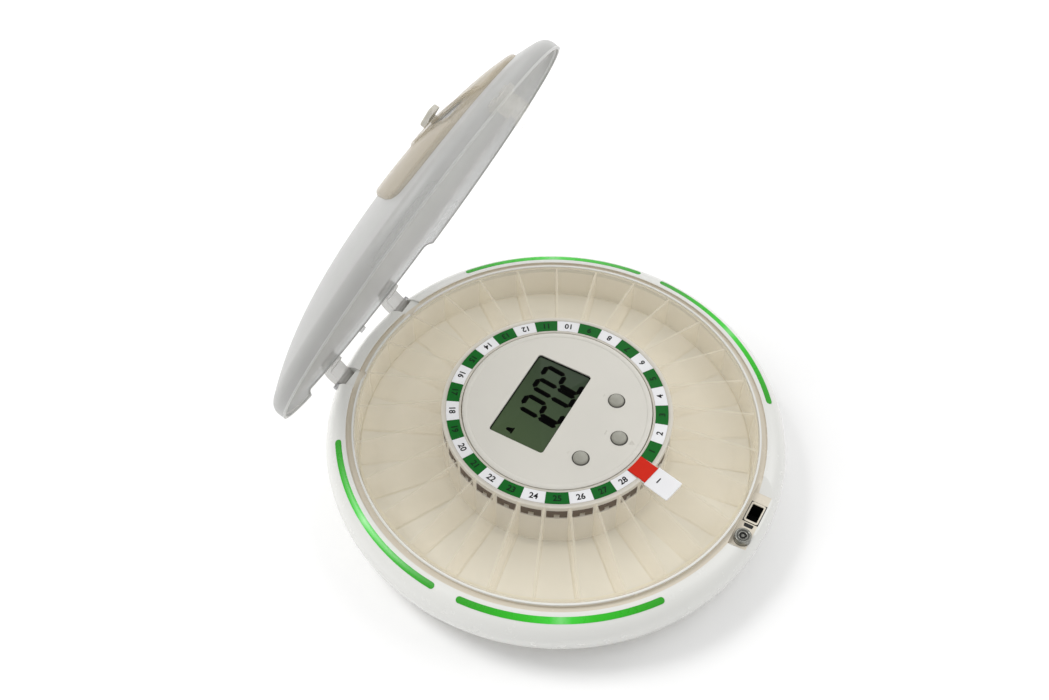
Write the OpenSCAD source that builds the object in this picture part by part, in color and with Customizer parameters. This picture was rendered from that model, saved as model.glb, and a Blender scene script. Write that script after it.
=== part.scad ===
// Automatic pill dispenser: a round housing with a turning tray of compartments,
// a display and three buttons in the middle, and a frosted lid that stands open.
// Millimetres. Z is up, the origin is at the centre of the base on the table,
// the lock is at -Y and the lid's hinge is at +Y.

/* [Housing] */
// Height of the widest line above the table
belt_z = 23; // [20:0.5:26]
// Radius of the round shoulder between the lid and the widest line
shoulder_r = 10.2; // [9.6:0.1:12]
// How far the flat underside lies inside the widest line
base_in = 18.2; // [14:0.2:24]
// Thickness of the housing's shells
shell_t = 2.2; // [1.8:0.1:2.4]
// Thickness of the bottom plate
floor_t = 2.5; // [2:0.1:3.5]
// Gap between parts that fit inside each other
fit_gap = 0.1; // [0.05:0.01:0.15]
// Gap between parts that move past each other
run_gap = 0.3; // [0.2:0.05:0.4]

/* [Feet] */
// Height of a foot below the bottom plate
foot_h = 2; // [1.5:0.1:3]
// Diameter of a foot
foot_d = 12; // [8:0.5:16]
// How far the feet's middle lies inside the edge of the underside
foot_in = 12; // [8:0.5:24]

/* [Hub] */
// Radius of the round control panel
hub_r = 45.6; // [45:0.1:52]
// Wall of the hub's sleeve
hub_wall = 2; // [1.5:0.1:2.2]
// Thickness of the control panel
panel_t = 2.5; // [2:0.1:3]
// Sideways offset of the display and the buttons
panel_x = -1; // [-2:0.1:2]

/* [Display] */
// Width of the display window
lcd_w = 50.8; // [44:0.2:56]
// Depth of the display window
lcd_d = 28.6; // [24:0.2:32]
// Distance of the window's centre behind the panel's centre
lcd_y = 8.4; // [6:0.2:9]
// How far the window lies below the panel
lcd_sink = 0.8; // [0.3:0.1:1.2]

/* [Buttons] */
// Diameter of a button
button_d = 7.5; // [6:0.1:9]
// How far a button stands above the panel
button_proud = 0.8; // [0.4:0.1:2]
// Distance of the side buttons from the middle button, sideways
button_side_x = 18.8; // [14:0.2:22]
// Distance of the side buttons in front of the panel's centre
button_side_y = 22.8; // [21:0.2:25]
// Distance of the middle button in front of the panel's centre
button_mid_y = 33.5; // [31:0.2:35]
// Travel of a button
button_travel = 0.8; // [0.4:0.1:0.9]

/* [Tray] */
// Gap between the control panel and the ring of labels
label_gap = 1.6; // [1.2:0.1:2.4]
// Width of the ring of labels
label_w = 6.1; // [5:0.1:8]
// Thickness of a label
label_t = 0.3; // [0.2:0.05:0.5]
// Width from the labels to the compartments, with the raised edge
edge_w = 2.2; // [1.8:0.1:3]
// Length of a compartment from its inner wall to the tray's rim
bay_l = 42; // [34:0.5:50]
// Wall of the tray
tray_wall = 1.2; // [1:0.1:1.5]
// Thickness of a divider
divider_t = 1; // [0.6:0.1:1.4]
// Number of compartments, with the empty one
sectors = 29; // [29]
// Height of the tray's floor above the table
tray_floor_z = 14; // [13:0.5:18]
// Thickness of the tray's floor
tray_floor_t = 1.4; // [1:0.1:1.8]
// How far the tray's rim stands above the housing's shoulder
tray_rise = 1.2; // [1:0.1:2.5]
// How far the tray's rim lies below the control panel
tray_drop = 9.6; // [8:0.2:11]
// Gap between the tray and the housing
tray_gap = 0.7; // [0.5:0.05:1]
// Width and height of the windows in the inner wall
window_w = 9.8; // [6:0.2:9.8]
window_h = 6.5; // [4:0.5:7]
// Width and length of the tab over the empty compartment
tab_w = 12; // [10:0.2:12.4]
tab_l = 15; // [10:0.5:20]
// How far the red label reaches onto the tab
red_l = 1.7; // [1.2:0.1:6]

/* [Drive] */
// How far the ring gear's pitch line lies outside the hub
gear_out = 2.25; // [2.25:0.05:2.4]
// Teeth of the ring gear
ring_teeth = 87; // [87]
// Teeth of the drive pinion
pinion_teeth = 20; // [18:1:22]
// Width of the gears
gear_w = 4; // [3:0.1:4.4]
// Play between the teeth
backlash = 0.3; // [0.2:0.05:0.4]
// Radius of the motor
motor_r = 14; // [11:0.5:15]
// Radius of the motor's shaft
shaft_r = 2; // [1.5:0.1:2.5]

/* [Light strips] */
// How far a light strip lies outside the top of the shoulder
strip_out = 2.3; // [1.8:0.1:3]
// Width of a light strip
strip_w = 2.8; // [2.2:0.1:3.6]
// Where a strip starts and ends, in degrees from the side of the housing
strip_a1 = 3.2; // [2:0.2:8]
strip_a2 = 54.8; // [45:0.2:56]

/* [Lid] */
// Thickness of the lid
lid_t = 1.8; // [1.4:0.1:2]
// Gap between the lid and the shoulder round it
lid_gap = 0.8; // [0.6:0.1:1.2]
// Height of the closed lid's crown above the control panel
crown_h = 13; // [11:0.5:18]
// Drop of the dome from its crown to its edge
dome_drop = 17; // [13:0.1:19]
// How flat the crown is
dome_power = 2.8; // [2:0.1:3.2]
// Opening angle of the lid as it stands
lid_open = 67.3; // [40:0.1:90]
// How far the hinge lies behind the lid, and below its foot
hinge_out = 5.4; // [5:0.1:5.8]
hinge_drop = 4.2; // [3.8:0.1:4.8]
// Distance of each hinge arm from the middle
arm_x = 26; // [23:0.5:30]
// Width of a hinge arm
arm_w = 9; // [7:0.2:10]
// Radius of a hinge arm's knuckle
knuckle_r = 3.2; // [2.8:0.1:3.3]
// Radius of a hinge pin
pin_r = 1.2; // [1:0.1:1.5]

/* [Dispensing door] */
// How far the raised guide lies inside the lid's edge
guide_in = 7.2; // [6:0.2:10]
// Length of the guide, from its outer edge inwards
guide_l = 50; // [46:0.5:56]
// Half of the raised guide's angle
guide_a = 32.5; // [30:0.5:36]
// Height of the raised guide
guide_h = 1.8; // [1.6:0.1:2.4]
// Thickness of the guide's skin
guide_t = 0.8; // [0.6:0.05:0.9]
// Half of the opening's angle
mouth_a = 5.5; // [4:0.1:6]
// How far the opening lies inside the guide
mouth_in = 4; // [3.5:0.1:8]
// Length of the opening
mouth_l = 31; // [26:0.5:35]
// Half of the sliding door's angle
door_a = 8.5; // [7:0.1:9]
// Angle by which the door stands open
door_open = 16; // [15:0.5:18]
// Distance of the door's knob from the opening
knob_in = 5; // [4.4:0.1:6]
// Height of the knob above the guide
knob_h = 4; // [4:0.5:8]

/* [Lock] */
// Place of the lock beside the centre, and in front of the lid
lock_x = -14.2; // [-15:0.1:-14]
lock_out = 3.1; // [2.9:0.1:3.4]
// Radius of the lock
lock_r = 3.9; // [3.6:0.1:4.2]
// Height of the lock above the recess
lock_h = 3.3; // [2:0.1:4]
// Depth of the recess below the top of the shoulder
recess_d = 3.2; // [2.8:0.1:3.6]
// Distance of the lock's driving pin from its axis
crank_r = 2; // [1.8:0.1:2]
// Width and depth of the latch hole
latch_w = 10.2; // [9:0.1:10.4]
latch_d = 6; // [5.4:0.1:6.2]
// Centre of the latch hole, sideways and in front of the lid
latch_x = 1.1; // [0.8:0.1:1.4]
latch_out = 3; // [2.8:0.1:3.2]

/* [Battery bay] */
// Diameter and length of a cell
cell_d = 14.2; // [10.5:0.1:14.3]
cell_l = 49.5; // [44.5:0.5:50]
// Travel of the battery door
door_travel = 6; // [4:0.5:8]

/* [Hidden] */

$fn = 96;
sector_a = 360 / sectors;
front_a = -90;
home_a = front_a - sector_a;

// Radii, from the hub outwards
label_r1 = hub_r + label_gap;
label_r2 = label_r1 + label_w;
edge_r = label_r2 + 0.2;
bay_r = label_r2 + edge_w;
red_r = bay_r + red_l;
tab_r = bay_r + tab_l;
tray_r = bay_r + bay_l;
well_r = tray_r + tray_gap;
well_wall = 2;
ridge_w = 0.9;
groove_r1 = well_r + ridge_w;
lid_r = groove_r1 + run_gap + lid_t;
shoulder_c = lid_r + lid_gap;
groove_r2 = shoulder_c;
body_r = shoulder_c + shoulder_r;
base_flat_r = body_r - base_in;
foot_ring_r = base_flat_r - foot_in;
inner_shoulder = shoulder_r - shell_t;
strip_r1 = shoulder_c + strip_out;
strip_r2 = strip_r1 + strip_w;
screw_ring_r = tray_r - 13.5;
rib_r1 = bay_r + 2.5;
rib_r2 = tray_r - 11.5;
rib_w = 2;
rim_lap = 1.4;
screw_as = [0, 90, 180, 270];
foot_as = [45, 135, 225, 315];

// Heights, from the table upwards
base_z = foot_h;
floor_z = base_z + floor_t;
tray_base_z = tray_floor_z - tray_floor_t;
deck_z = tray_base_z - 1.6;
deck_t = 2;
rib_z = tray_base_z - run_gap;
shoulder_z = belt_z + shoulder_r;
lid_foot_z = shoulder_z - 1;
groove_z = lid_foot_z - run_gap;
skin_under_z = groove_z - shell_t;
led_foot_z = skin_under_z - 1.1;
tray_rim_z = shoulder_z + tray_rise;
ridge_z = tray_rim_z - 0.2;
panel_z = tray_rim_z + tray_drop;
crown_z = panel_z + crown_h;
sleeve_in = hub_r - hub_wall;
sleeve_top = panel_z - panel_t;

// Battery bay, above the bottom plate
cell_pitch = cell_d + 0.8;
bay_x = 2 * cell_pitch + 1;
bay_y = cell_l / 2 + 1.8;
bay_wall = 1.5;
bay_top = floor_z + cell_d + 1;
cell_z = bay_top - 0.2 - cell_d / 2;

// Gears, and the tray's neck: the tube that carries the ring gear, and the flange above it
gear_m = 2 * (hub_r + gear_out) / ring_teeth;
ring_root_r = gear_m * ring_teeth / 2 + 1.35 * gear_m;
ring_tip_r = gear_m * ring_teeth / 2 - gear_m;
neck_r1 = ring_root_r + 0.4;
neck_r2 = neck_r1 + tray_wall;
flange_t = 1.3;
label_z = panel_z - label_t;
flange_z = label_z - flange_t;
gear_z = bay_top + bay_wall + 1;
pinion_x = gear_m * (ring_teeth - pinion_teeth) / 2;

// Motor and main board
bracket_z = gear_z + gear_w + 0.6;
bracket_t = 1.2;
motor_z = bracket_z + bracket_t;
shaft_edge = 3.5;
motor_x = pinion_x - (motor_r - shaft_r - shaft_edge);
motor_ear = 3;
board_t = 1.6;
board_gap = 3.3;
board_z = sleeve_top - board_gap - board_t;
board_top = board_z + board_t;
board_r = sleeve_in - 1;
module_h = 2.6;
post_r = sleeve_in - 2.6;
post_as = [60, 120, 240, 300];
button_flange_t = 0.8;
button_foot_z = sleeve_top - 0.2 - button_flange_t;
button_places = [
  [panel_x - button_side_x, -button_side_y],
  [panel_x, -button_mid_y],
  [panel_x + button_side_x, -button_side_y]
];

// Recess with the lock and the latch hole
lock_y = -(lid_r + lock_out);
latch_y = -(lid_r + latch_out);
receiver_t = 0.8;
recess_y = -(groove_r1 + 0.4);
recess_x1 = lock_x - lock_r - 0.9;
recess_x2 = latch_x + latch_w / 2 + receiver_t + 5;
recess_slope_x = recess_x2 + 8.5;
recess_side = 2.5;
recess_t = 2;
recess_z = shoulder_z - recess_d;
receiver_z = recess_z - 11.5;
bolt_t = 1.6;
bolt_z = recess_z - recess_t - run_gap - bolt_t;
bolt_w = 2.4;
bolt_y = lock_y + 0.3;
bolt_travel = crank_r * sqrt(2);
bolt_nose_x = latch_x - latch_w / 2 - receiver_t - run_gap;
crank_pin_r = 0.75;
slot_w = 1.2;
slot_x = latch_x - latch_w / 2 - receiver_t - fit_gap - slot_w - 0.7;

// Closed lid and its hinge
dome_edge_z = crown_z - dome_drop;
hinge_y = lid_r + hinge_out;
hinge_z = lid_foot_z - hinge_drop;
foot_bevel = 0.6;
notch_gap = 0.6;
notch_z = hinge_z - knuckle_r - 0.8;
notch_y = hinge_y - knuckle_r - 1.6;
pin_half = arm_w / 2 + notch_gap + 2.6;
arm_root_y = sqrt(pow(lid_r, 2) - pow(arm_x + arm_w / 2, 2)) - 1;
arm_back_r = 11.3;
hook_z = receiver_z + 3.2;
guide_r2 = lid_r - guide_in;
guide_r1 = guide_r2 - guide_l;
guide_wall = 1.5;
mouth_r2 = guide_r2 - mouth_in;
mouth_r1 = mouth_r2 - mouth_l;
mouth_c = front_a;
lip_h = 1.4;
door_c = front_a + door_open;
knob_r = mouth_r1 - knob_in;

function arc(cr, cz, r, a0, a1, n) =
  [for (i = [0:n]) let (a = a0 + (a1 - a0) * i / n) [cr + r * cos(a), cz + r * sin(a)]];

function bowl(dr, dz, n) =
  [for (i = [0:n]) let (a = -90 + 90 * i / n)
    [base_flat_r + (body_r - base_flat_r - dr) * cos(a), belt_z + (belt_z - base_z - dz) * sin(a)]];

function dome_z(r) = crown_z - dome_drop * pow(r / lid_r, dome_power);

function dome_line(r1, r2, up, n) =
  [for (i = [0:n]) let (r = r1 + (r2 - r1) * i / n) [r, dome_z(r) + up]];

function back(list) = [for (i = [len(list) - 1:-1:0]) list[i]];

// Angle of an involute flank at radius r, in degrees, for a gear of base radius rb
function roll(r, rb) =
  let (t = sqrt(max(0, pow(r / rb, 2) - 1))) t * 180 / PI - atan(t);

function tooth_half(r, z, slack) =
  let (rp = gear_m * z / 2, rb = rp * cos(20))
  90 / z - slack / rp * 90 / PI + roll(rp, rb) - roll(r, rb);

function gear_points(z, r_in, r_out, slack, n) =
  [for (k = [0:z - 1]) each concat(
    [for (i = [0:n]) let (r = r_in + (r_out - r_in) * i / n, a = 360 * k / z - tooth_half(r, z, slack))
      [r * cos(a), r * sin(a)]],
    [for (i = [n:-1:0]) let (r = r_in + (r_out - r_in) * i / n, a = 360 * k / z + tooth_half(r, z, slack))
      [r * cos(a), r * sin(a)]])];

module disc(r, z1, z2) {
  translate([0, 0, z1])
    cylinder(r = r, h = z2 - z1);
}

module ring(r1, r2, z1, z2) {
  difference() {
    disc(r2, z1, z2);
    disc(r1, z1 - 1, z2 + 1);
  }
}

// Wedge of the full height between two angles
module wedge(a0, a1) {
  big = 200;
  m = (a0 + a1) / 2;
  translate([0, 0, -20])
    linear_extrude(height = 120)
      polygon([[0, 0], big * [cos(a0), sin(a0)], big * [cos(m), sin(m)], big * [cos(a1), sin(a1)]]);
}

module fan(r1, r2, a0, a1, z1, z2) {
  intersection() {
    ring(r1, r2, z1, z2);
    wedge(a0, a1);
  }
}

module block(x1, x2, y1, y2, z1, z2) {
  translate([x1, y1, z1])
    cube([x2 - x1, y2 - y1, z2 - z1]);
}

module at_ring(r, angles) {
  for (a = angles)
    rotate([0, 0, a])
      translate([r, 0, 0])
        children();
}

// Places a piece of the closed lid where it is with the lid standing open
module on_lid() {
  translate([0, hinge_y, hinge_z])
    rotate([-lid_open, 0, 0])
      translate([0, -hinge_y, -hinge_z])
        children();
}

// Band that follows the dome's outside between two heights above it
module dome_band(r1, r2, low, high, n = 8) {
  rotate_extrude()
    polygon(concat(dome_line(r1, r2, low, n), back(dome_line(r1, r2, high, n))));
}

module dome_fan(r1, r2, low, high, a0, a1, n = 8) {
  intersection() {
    dome_band(r1, r2, low, high, n);
    wedge(a0, a1);
  }
}

// Everything under the housing's round shoulder, as one solid ring
module shoulder_solid(r) {
  rotate_extrude()
    polygon(concat([[well_r + well_wall, belt_z], [shoulder_c + r, belt_z]],
      arc(shoulder_c, belt_z, r, 0, 90, 16), [[well_r + well_wall, belt_z + r]]));
}

// Housing

// Section of the rim: the round shoulder, the seat for the lid and the ridge beside the tray
module rim_profile() {
  lap = acos(rim_lap / inner_shoulder);
  polygon(concat(
    [[well_r, skin_under_z], [groove_r2 + rim_lap, skin_under_z]],
    arc(shoulder_c, belt_z, inner_shoulder, lap, 0, 10),
    arc(shoulder_c, belt_z, shoulder_r, 0, 90, 16),
    [[groove_r2, groove_z], [groove_r1, groove_z], [groove_r1, ridge_z], [well_r, ridge_z]]));
}

// Section of the well: its floor with two running ribs, and its wall
module well_profile() {
  polygon([[hub_r, deck_z - deck_t], [well_r + well_wall, deck_z - deck_t],
    [well_r + well_wall, skin_under_z], [well_r, skin_under_z], [well_r, deck_z],
    [rib_r2 + rib_w, deck_z], [rib_r2 + rib_w, rib_z], [rib_r2, rib_z], [rib_r2, deck_z],
    [rib_r1 + rib_w, deck_z], [rib_r1 + rib_w, rib_z], [rib_r1, rib_z], [rib_r1, deck_z],
    [hub_r, deck_z]]);
}

// Cut that follows the shoulder along one light strip, with round ends
module strip_shape(grow, depth, top) {
  mid_r = (strip_r1 + strip_r2) / 2;
  w = strip_r2 - strip_r1;
  tilt = acos((mid_r - shoulder_c) / shoulder_r);
  half = asin(w / 2 / sin(tilt) / shoulder_r) + grow * 5.6;
  end_a = w / 2 / mid_r * 180 / PI;
  intersection() {
    rotate_extrude()
      polygon(concat(arc(shoulder_c, belt_z, shoulder_r - depth, tilt - half, tilt + half, 2),
        arc(shoulder_c, belt_z, shoulder_r + top, tilt + half, tilt - half, 4)));
    union() {
      wedge(strip_a1 + end_a, strip_a2 - end_a);
      for (a = [strip_a1 + end_a, strip_a2 - end_a])
        rotate([0, 0, a])
          translate([shoulder_c, 0, belt_z])
            rotate([0, 90 - tilt, 0])
              cylinder(r = w / 2 / sin(tilt) + grow, h = 20);
    }
  }
}

module each_quarter() {
  children();
  mirror([1, 0, 0])
    children();
  mirror([0, 1, 0])
    children();
  mirror([1, 0, 0])
    mirror([0, 1, 0])
      children();
}

module recess_cut() {
  far = body_r + 5;
  translate([0, recess_y, 0])
    rotate([90, 0, 0])
      linear_extrude(height = far + recess_y)
        polygon([[recess_x1, recess_z], [recess_x2, recess_z], [recess_slope_x, shoulder_z + 0.1],
          [recess_slope_x, shoulder_z + 9], [recess_x1 - recess_side, shoulder_z + 9],
          [recess_x1 - recess_side, shoulder_z + 0.1]]);
}

module recess_floor() {
  intersection() {
    translate([0, recess_y + 2, 0])
      rotate([90, 0, 0])
        linear_extrude(height = 30)
          polygon([[recess_x1 - recess_t, recess_z - recess_t], [recess_x2, recess_z - recess_t],
            [recess_slope_x + 4, shoulder_z - recess_t + 0.8], [recess_slope_x + 4, shoulder_z],
            [recess_slope_x, shoulder_z], [recess_x2, recess_z], [recess_x1, recess_z],
            [recess_x1 - recess_side, shoulder_z], [recess_x1 - recess_side - recess_t, shoulder_z - 1]]);
    shoulder_solid(shoulder_r);
  }
}

module receiver_box(grow, z1, z2) {
  block(latch_x - latch_w / 2 - receiver_t - grow, latch_x + latch_w / 2 + receiver_t + grow,
    latch_y - latch_d / 2 - receiver_t - grow, latch_y + latch_d / 2 + receiver_t + grow, z1, z2);
}

// Blocks beside the hinge arms that hold the pins
module hinge_blocks() {
  side = 3.6;
  x1 = arm_x - arm_w / 2 - notch_gap - side;
  x2 = arm_x + arm_w / 2 + notch_gap + side;
  for (s = [-1, 1])
    intersection() {
      block(min(s * x1, s * x2), max(s * x1, s * x2), well_r * cos(20), body_r + 2,
        notch_z - 1.5, hinge_z + knuckle_r);
      shoulder_solid(shoulder_r - 0.02);
    }
}

module hinge_notches() {
  for (s = [-1, 1])
    translate([s * arm_x, 0, 0]) {
      block(-arm_w / 2 - notch_gap, arm_w / 2 + notch_gap, notch_y, body_r + 5,
        notch_z, shoulder_z + 5);
      block(-arm_w / 2 - notch_gap, arm_w / 2 + notch_gap, arm_root_y, body_r + 5,
        groove_z, shoulder_z + 5);
    }
}

module pinion_window() {
  translate([pinion_x, 0, gear_z - 0.8])
    cylinder(r = gear_m * (pinion_teeth / 2 + 1) + 0.9, h = gear_w + 1.6);
}

module rim_ring() {
  color([0.92, 0.915, 0.89])
    difference() {
      union() {
        difference() {
          rotate_extrude()
            rim_profile();
          recess_cut();
        }
        difference() {
          recess_floor();
          ring(groove_r1, groove_r2, groove_z, shoulder_z + 1);
        }
        hinge_blocks();
      }
      each_quarter()
        strip_shape(fit_gap, 4, 3);
      hinge_notches();
      for (s = [-1, 1])
        translate([s * arm_x - pin_half, hinge_y, hinge_z])
          rotate([0, 90, 0])
            cylinder(r = pin_r + 0.03, h = 2 * pin_half);
      receiver_box(fit_gap, receiver_z, recess_z + 1);
      translate([lock_x, lock_y, recess_z - recess_t - 1])
        cylinder(r = lock_r + fit_gap, h = 9);
      // Narrow slot between the lock and the latch hole
      block(slot_x, slot_x + slot_w, latch_y - 2.3, latch_y + 2.3, recess_z - recess_t - 1, recess_z + 1);
    }
}

module tray_well() {
  color([0.92, 0.915, 0.89])
    difference() {
      union() {
        rotate_extrude()
          well_profile();
        // Bosses for the screws that join the two halves
        at_ring(screw_ring_r, screw_as)
          disc(3.5, floor_z, deck_z - deck_t + 0.5);
      }
      at_ring(screw_ring_r, screw_as)
        disc(1.3, floor_z - 1, deck_z - 0.6);
    }
}

module hub_sleeve() {
  color([0.92, 0.915, 0.89])
    difference() {
      union() {
        ring(sleeve_in, hub_r, deck_z - deck_t, sleeve_top);
        // Posts for the main board
        at_ring(post_r, post_as)
          disc(3, deck_z, board_z);
      }
      pinion_window();
      at_ring(post_r, post_as)
        disc(1, board_z - 6, board_z + 1);
    }
}

module bottom_housing() {
  door_x = bay_x + 0.5;
  color([0.92, 0.915, 0.89])
    difference() {
      rotate_extrude()
        polygon(concat([[0, base_z]], bowl(0, 0, 16),
          back(bowl(shell_t, floor_t, 16)), [[0, floor_z]]));
      // Opening under the cells, and the shallow seat that the door slides in
      block(-bay_x + 1.5, bay_x - 1.5, -bay_y + 1.5, bay_y - 1.5, base_z - 1, floor_z + 1);
      block(-door_x, door_x, -bay_y - door_travel - 0.5, bay_y + 0.5, base_z - 1, base_z + 1.5);
      at_ring(foot_ring_r, foot_as)
        disc(foot_d / 2 + fit_gap, base_z - 1, base_z + 0.6);
      at_ring(screw_ring_r, screw_as) {
        disc(3, base_z - 1, base_z + 1.4);
        disc(1.6, base_z - 1, floor_z + 1);
      }
    }
}

module feet() {
  color([0.25, 0.25, 0.25])
    at_ring(foot_ring_r, foot_as)
      disc(foot_d / 2, 0, base_z + 0.6);
}

module housing_screws() {
  color([0.7, 0.7, 0.72])
    at_ring(screw_ring_r, screw_as)
      difference() {
        union() {
          disc(2.7, base_z + 0.2, base_z + 1.4);
          disc(1.3, base_z + 1.3, deck_z - 0.7);
        }
        translate([-1.4, -0.35, base_z])
          cube([2.8, 0.7, 0.8]);
        translate([-0.35, -1.4, base_z])
          cube([0.7, 2.8, 0.8]);
      }
}

// Battery bay

module battery_box() {
  x = bay_x + bay_wall;
  y = bay_y + bay_wall;
  color([0.85, 0.85, 0.82])
    difference() {
      block(-x, x, -y, y, floor_z, bay_top + bay_wall);
      block(-bay_x, bay_x, -bay_y, bay_y, floor_z - 1, bay_top);
    }
}

module battery_cells() {
  color([0.75, 0.75, 0.78])
    for (i = [0:3])
      translate([(i - 1.5) * cell_pitch, 0, cell_z])
        rotate([i % 2 == 0 ? 90 : -90, 0, 0])
          translate([0, 0, -cell_l / 2]) {
            cylinder(d = cell_d, h = cell_l - 1);
            cylinder(r = 2.7, h = cell_l);
          }
}

module battery_contacts() {
  gap = bay_y - cell_l / 2;
  color([0.8, 0.8, 0.8])
    for (i = [0:3], s = [-1, 1])
      translate([(i - 1.5) * cell_pitch, s * bay_y, cell_z])
        rotate([s * 90, 0, 0]) {
          translate([-4.5, -4.5, 0])
            cube([9, 9, 0.4]);
          cylinder(r = 3, h = gap - 0.4);
        }
}

module battery_door() {
  x = bay_x + 0.5 - run_gap;
  color([0.92, 0.915, 0.89])
    difference() {
      block(-x, x, -bay_y, bay_y + 0.2, base_z + 0.1, base_z + 1.3);
      // Thumb grip
      for (i = [0:3])
        block(-8, 8, -bay_y + 4 + i * 2.2, -bay_y + 5 + i * 2.2, base_z, base_z + 0.6);
    }
}

// Light strips

module light_strip(sx, sy) {
  color([0.3, 0.85, 0.25])
    scale([sx, sy, 1])
      strip_shape(0, 2.6, 0.15);
}

module led_seat() {
  mid_a = (strip_a1 + strip_a2) / 2;
  rotate([0, 0, mid_a])
    children();
}

module led_boards() {
  far = (strip_r1 + strip_r2) / 2 + 1.6;
  color([0.1, 0.4, 0.2])
    each_quarter()
      led_seat()
        fan(well_r + well_wall + 0.1, far, -9, 9, led_foot_z - 1.2, led_foot_z);
}

module leds() {
  mid_r = (strip_r1 + strip_r2) / 2;
  color([0.95, 0.95, 0.8])
    each_quarter()
      led_seat()
        block(mid_r - 1.4, mid_r + 0.4, -1.4, 1.4, led_foot_z, led_foot_z + 0.6);
}

// Hub

module rounded_plate(w, d, r, z1, z2) {
  translate([0, 0, z1])
    linear_extrude(height = z2 - z1) {
      square([w, d - 2 * r], center = true);
      square([w - 2 * r, d], center = true);
      for (sx = [-1, 1], sy = [-1, 1])
        translate([sx * (w / 2 - r), sy * (d / 2 - r)])
          circle(r = r);
    }
}

module control_panel() {
  color([0.87, 0.86, 0.83])
    difference() {
      disc(hub_r, sleeve_top, panel_z);
      translate([panel_x, lcd_y, 0])
        rounded_plate(lcd_w + 2 * fit_gap, lcd_d + 2 * fit_gap, 1.5, sleeve_top - 1, panel_z + 1);
      for (p = button_places)
        translate([p[0], p[1], 0])
          disc(button_d / 2 + 0.35, sleeve_top - 1, panel_z + 1);
    }
}

module display_window() {
  color([0.6, 0.7, 0.55, 0.6])
    translate([panel_x, lcd_y, 0])
      rounded_plate(lcd_w, lcd_d, 1.5, board_top + module_h, panel_z - lcd_sink);
}

module display_module() {
  color([0.3, 0.38, 0.25])
    translate([panel_x, lcd_y, 0])
      rounded_plate(lcd_w + 2, lcd_d + 2, 0.6, board_top, board_top + module_h);
}

module main_board() {
  color([0.1, 0.4, 0.2])
    difference() {
      disc(board_r, board_z, board_top);
      at_ring(post_r, post_as)
        disc(1.3, board_z - 1, board_top + 1);
    }
}

module board_screws() {
  color([0.7, 0.7, 0.72])
    at_ring(post_r, post_as) {
      disc(1, board_z - 5, board_top + 0.5);
      disc(2, board_top, board_top + 1.2);
    }
}

module button_switches() {
  color([0.2, 0.2, 0.2])
    for (p = button_places)
      translate([p[0], p[1], 0]) {
        block(-2.6, 2.6, -2.6, 2.6, board_top, board_top + 0.9);
        disc(1.4, board_top + 0.8, button_foot_z - button_travel - run_gap);
      }
}

module button(i) {
  p = button_places[i];
  color([0.55, 0.55, 0.54])
    translate([p[0], p[1], 0]) {
      disc(button_d / 2, sleeve_top - 0.4, panel_z + button_proud);
      disc(button_d / 2 + 1, button_foot_z, button_foot_z + button_flange_t);
    }
}

module buzzer() {
  color([0.1, 0.1, 0.1])
    translate([-24, 0, 0])
      disc(6, board_z - 5, board_z);
}

module home_sensor() {
  color([0.1, 0.1, 0.1])
    rotate([0, 0, home_a])
      block(sleeve_in - 2.2, sleeve_in - 0.2, -2, 2, board_z - 4.5, board_z);
}

// Drive

module gear_motor() {
  color([0.7, 0.7, 0.72])
    difference() {
      union() {
        translate([motor_x, 0, 0])
          disc(motor_r, motor_z, board_z - 0.6);
        block(motor_x - 3.5, motor_x + 3.5, -motor_r - 2 * motor_ear,
          motor_r + 2 * motor_ear, motor_z, motor_z + 1);
      }
      translate([pinion_x, 0, 0])
        disc(shaft_r + 0.05, motor_z - 1, motor_z + 4.2);
      for (s = [-1, 1])
        translate([motor_x, s * (motor_r + motor_ear), 0])
          disc(1.4, motor_z - 1, motor_z + 2);
    }
}

module motor_bracket() {
  color([0.6, 0.6, 0.62])
    difference() {
      union() {
        intersection() {
          block(4, sleeve_in, -27, 27, bracket_z, motor_z);
          disc(sleeve_in - 0.3, bracket_z - 1, motor_z + 1);
        }
        for (x = [8, 26], s = [-1, 1])
          translate([x, s * 23.5, 0])
            disc(2.5, bay_top + bay_wall, bracket_z + 0.1);
      }
      translate([pinion_x, 0, 0])
        disc(shaft_r + 0.6, bracket_z - 1, motor_z + 1);
      for (s = [-1, 1])
        translate([motor_x, s * (motor_r + motor_ear), 0])
          disc(1.05, bracket_z - 1, motor_z + 1);
    }
}

module motor_screws() {
  color([0.75, 0.75, 0.77])
    for (s = [-1, 1])
      translate([motor_x, s * (motor_r + motor_ear), 0]) {
        disc(1, bracket_z - 1, motor_z + 1.2);
        disc(2, motor_z + 1, motor_z + 2.2);
      }
}

module drive_pinion() {
  color([0.9, 0.88, 0.8])
    translate([pinion_x, 0, 0]) {
      translate([0, 0, gear_z])
        linear_extrude(height = gear_w)
          polygon(gear_points(pinion_teeth, gear_m * (pinion_teeth / 2 - 1.25),
            gear_m * (pinion_teeth / 2 + 1), backlash / 2, 4));
      disc(shaft_r, gear_z + gear_w - 0.1, motor_z + 4);
      disc(shaft_r + 1.5, gear_z + gear_w - 0.1, bracket_z - run_gap);
    }
}

module ring_gear() {
  color([0.88, 0.86, 0.8])
    translate([0, 0, gear_z])
      linear_extrude(height = gear_w + 0.6)
        difference() {
          circle(r = neck_r1, $fn = 720);
          polygon(gear_points(ring_teeth, ring_tip_r, ring_root_r, -backlash / 2, 1));
        }
}

// Tray

module tray_floor() {
  color([0.82, 0.77, 0.68, 0.6])
    ring(neck_r2, tray_r - tray_wall, tray_base_z, tray_floor_z);
}

module tray_outer_wall() {
  color([0.82, 0.77, 0.68, 0.6])
    ring(tray_r - tray_wall, tray_r, tray_base_z, tray_rim_z);
}

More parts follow.
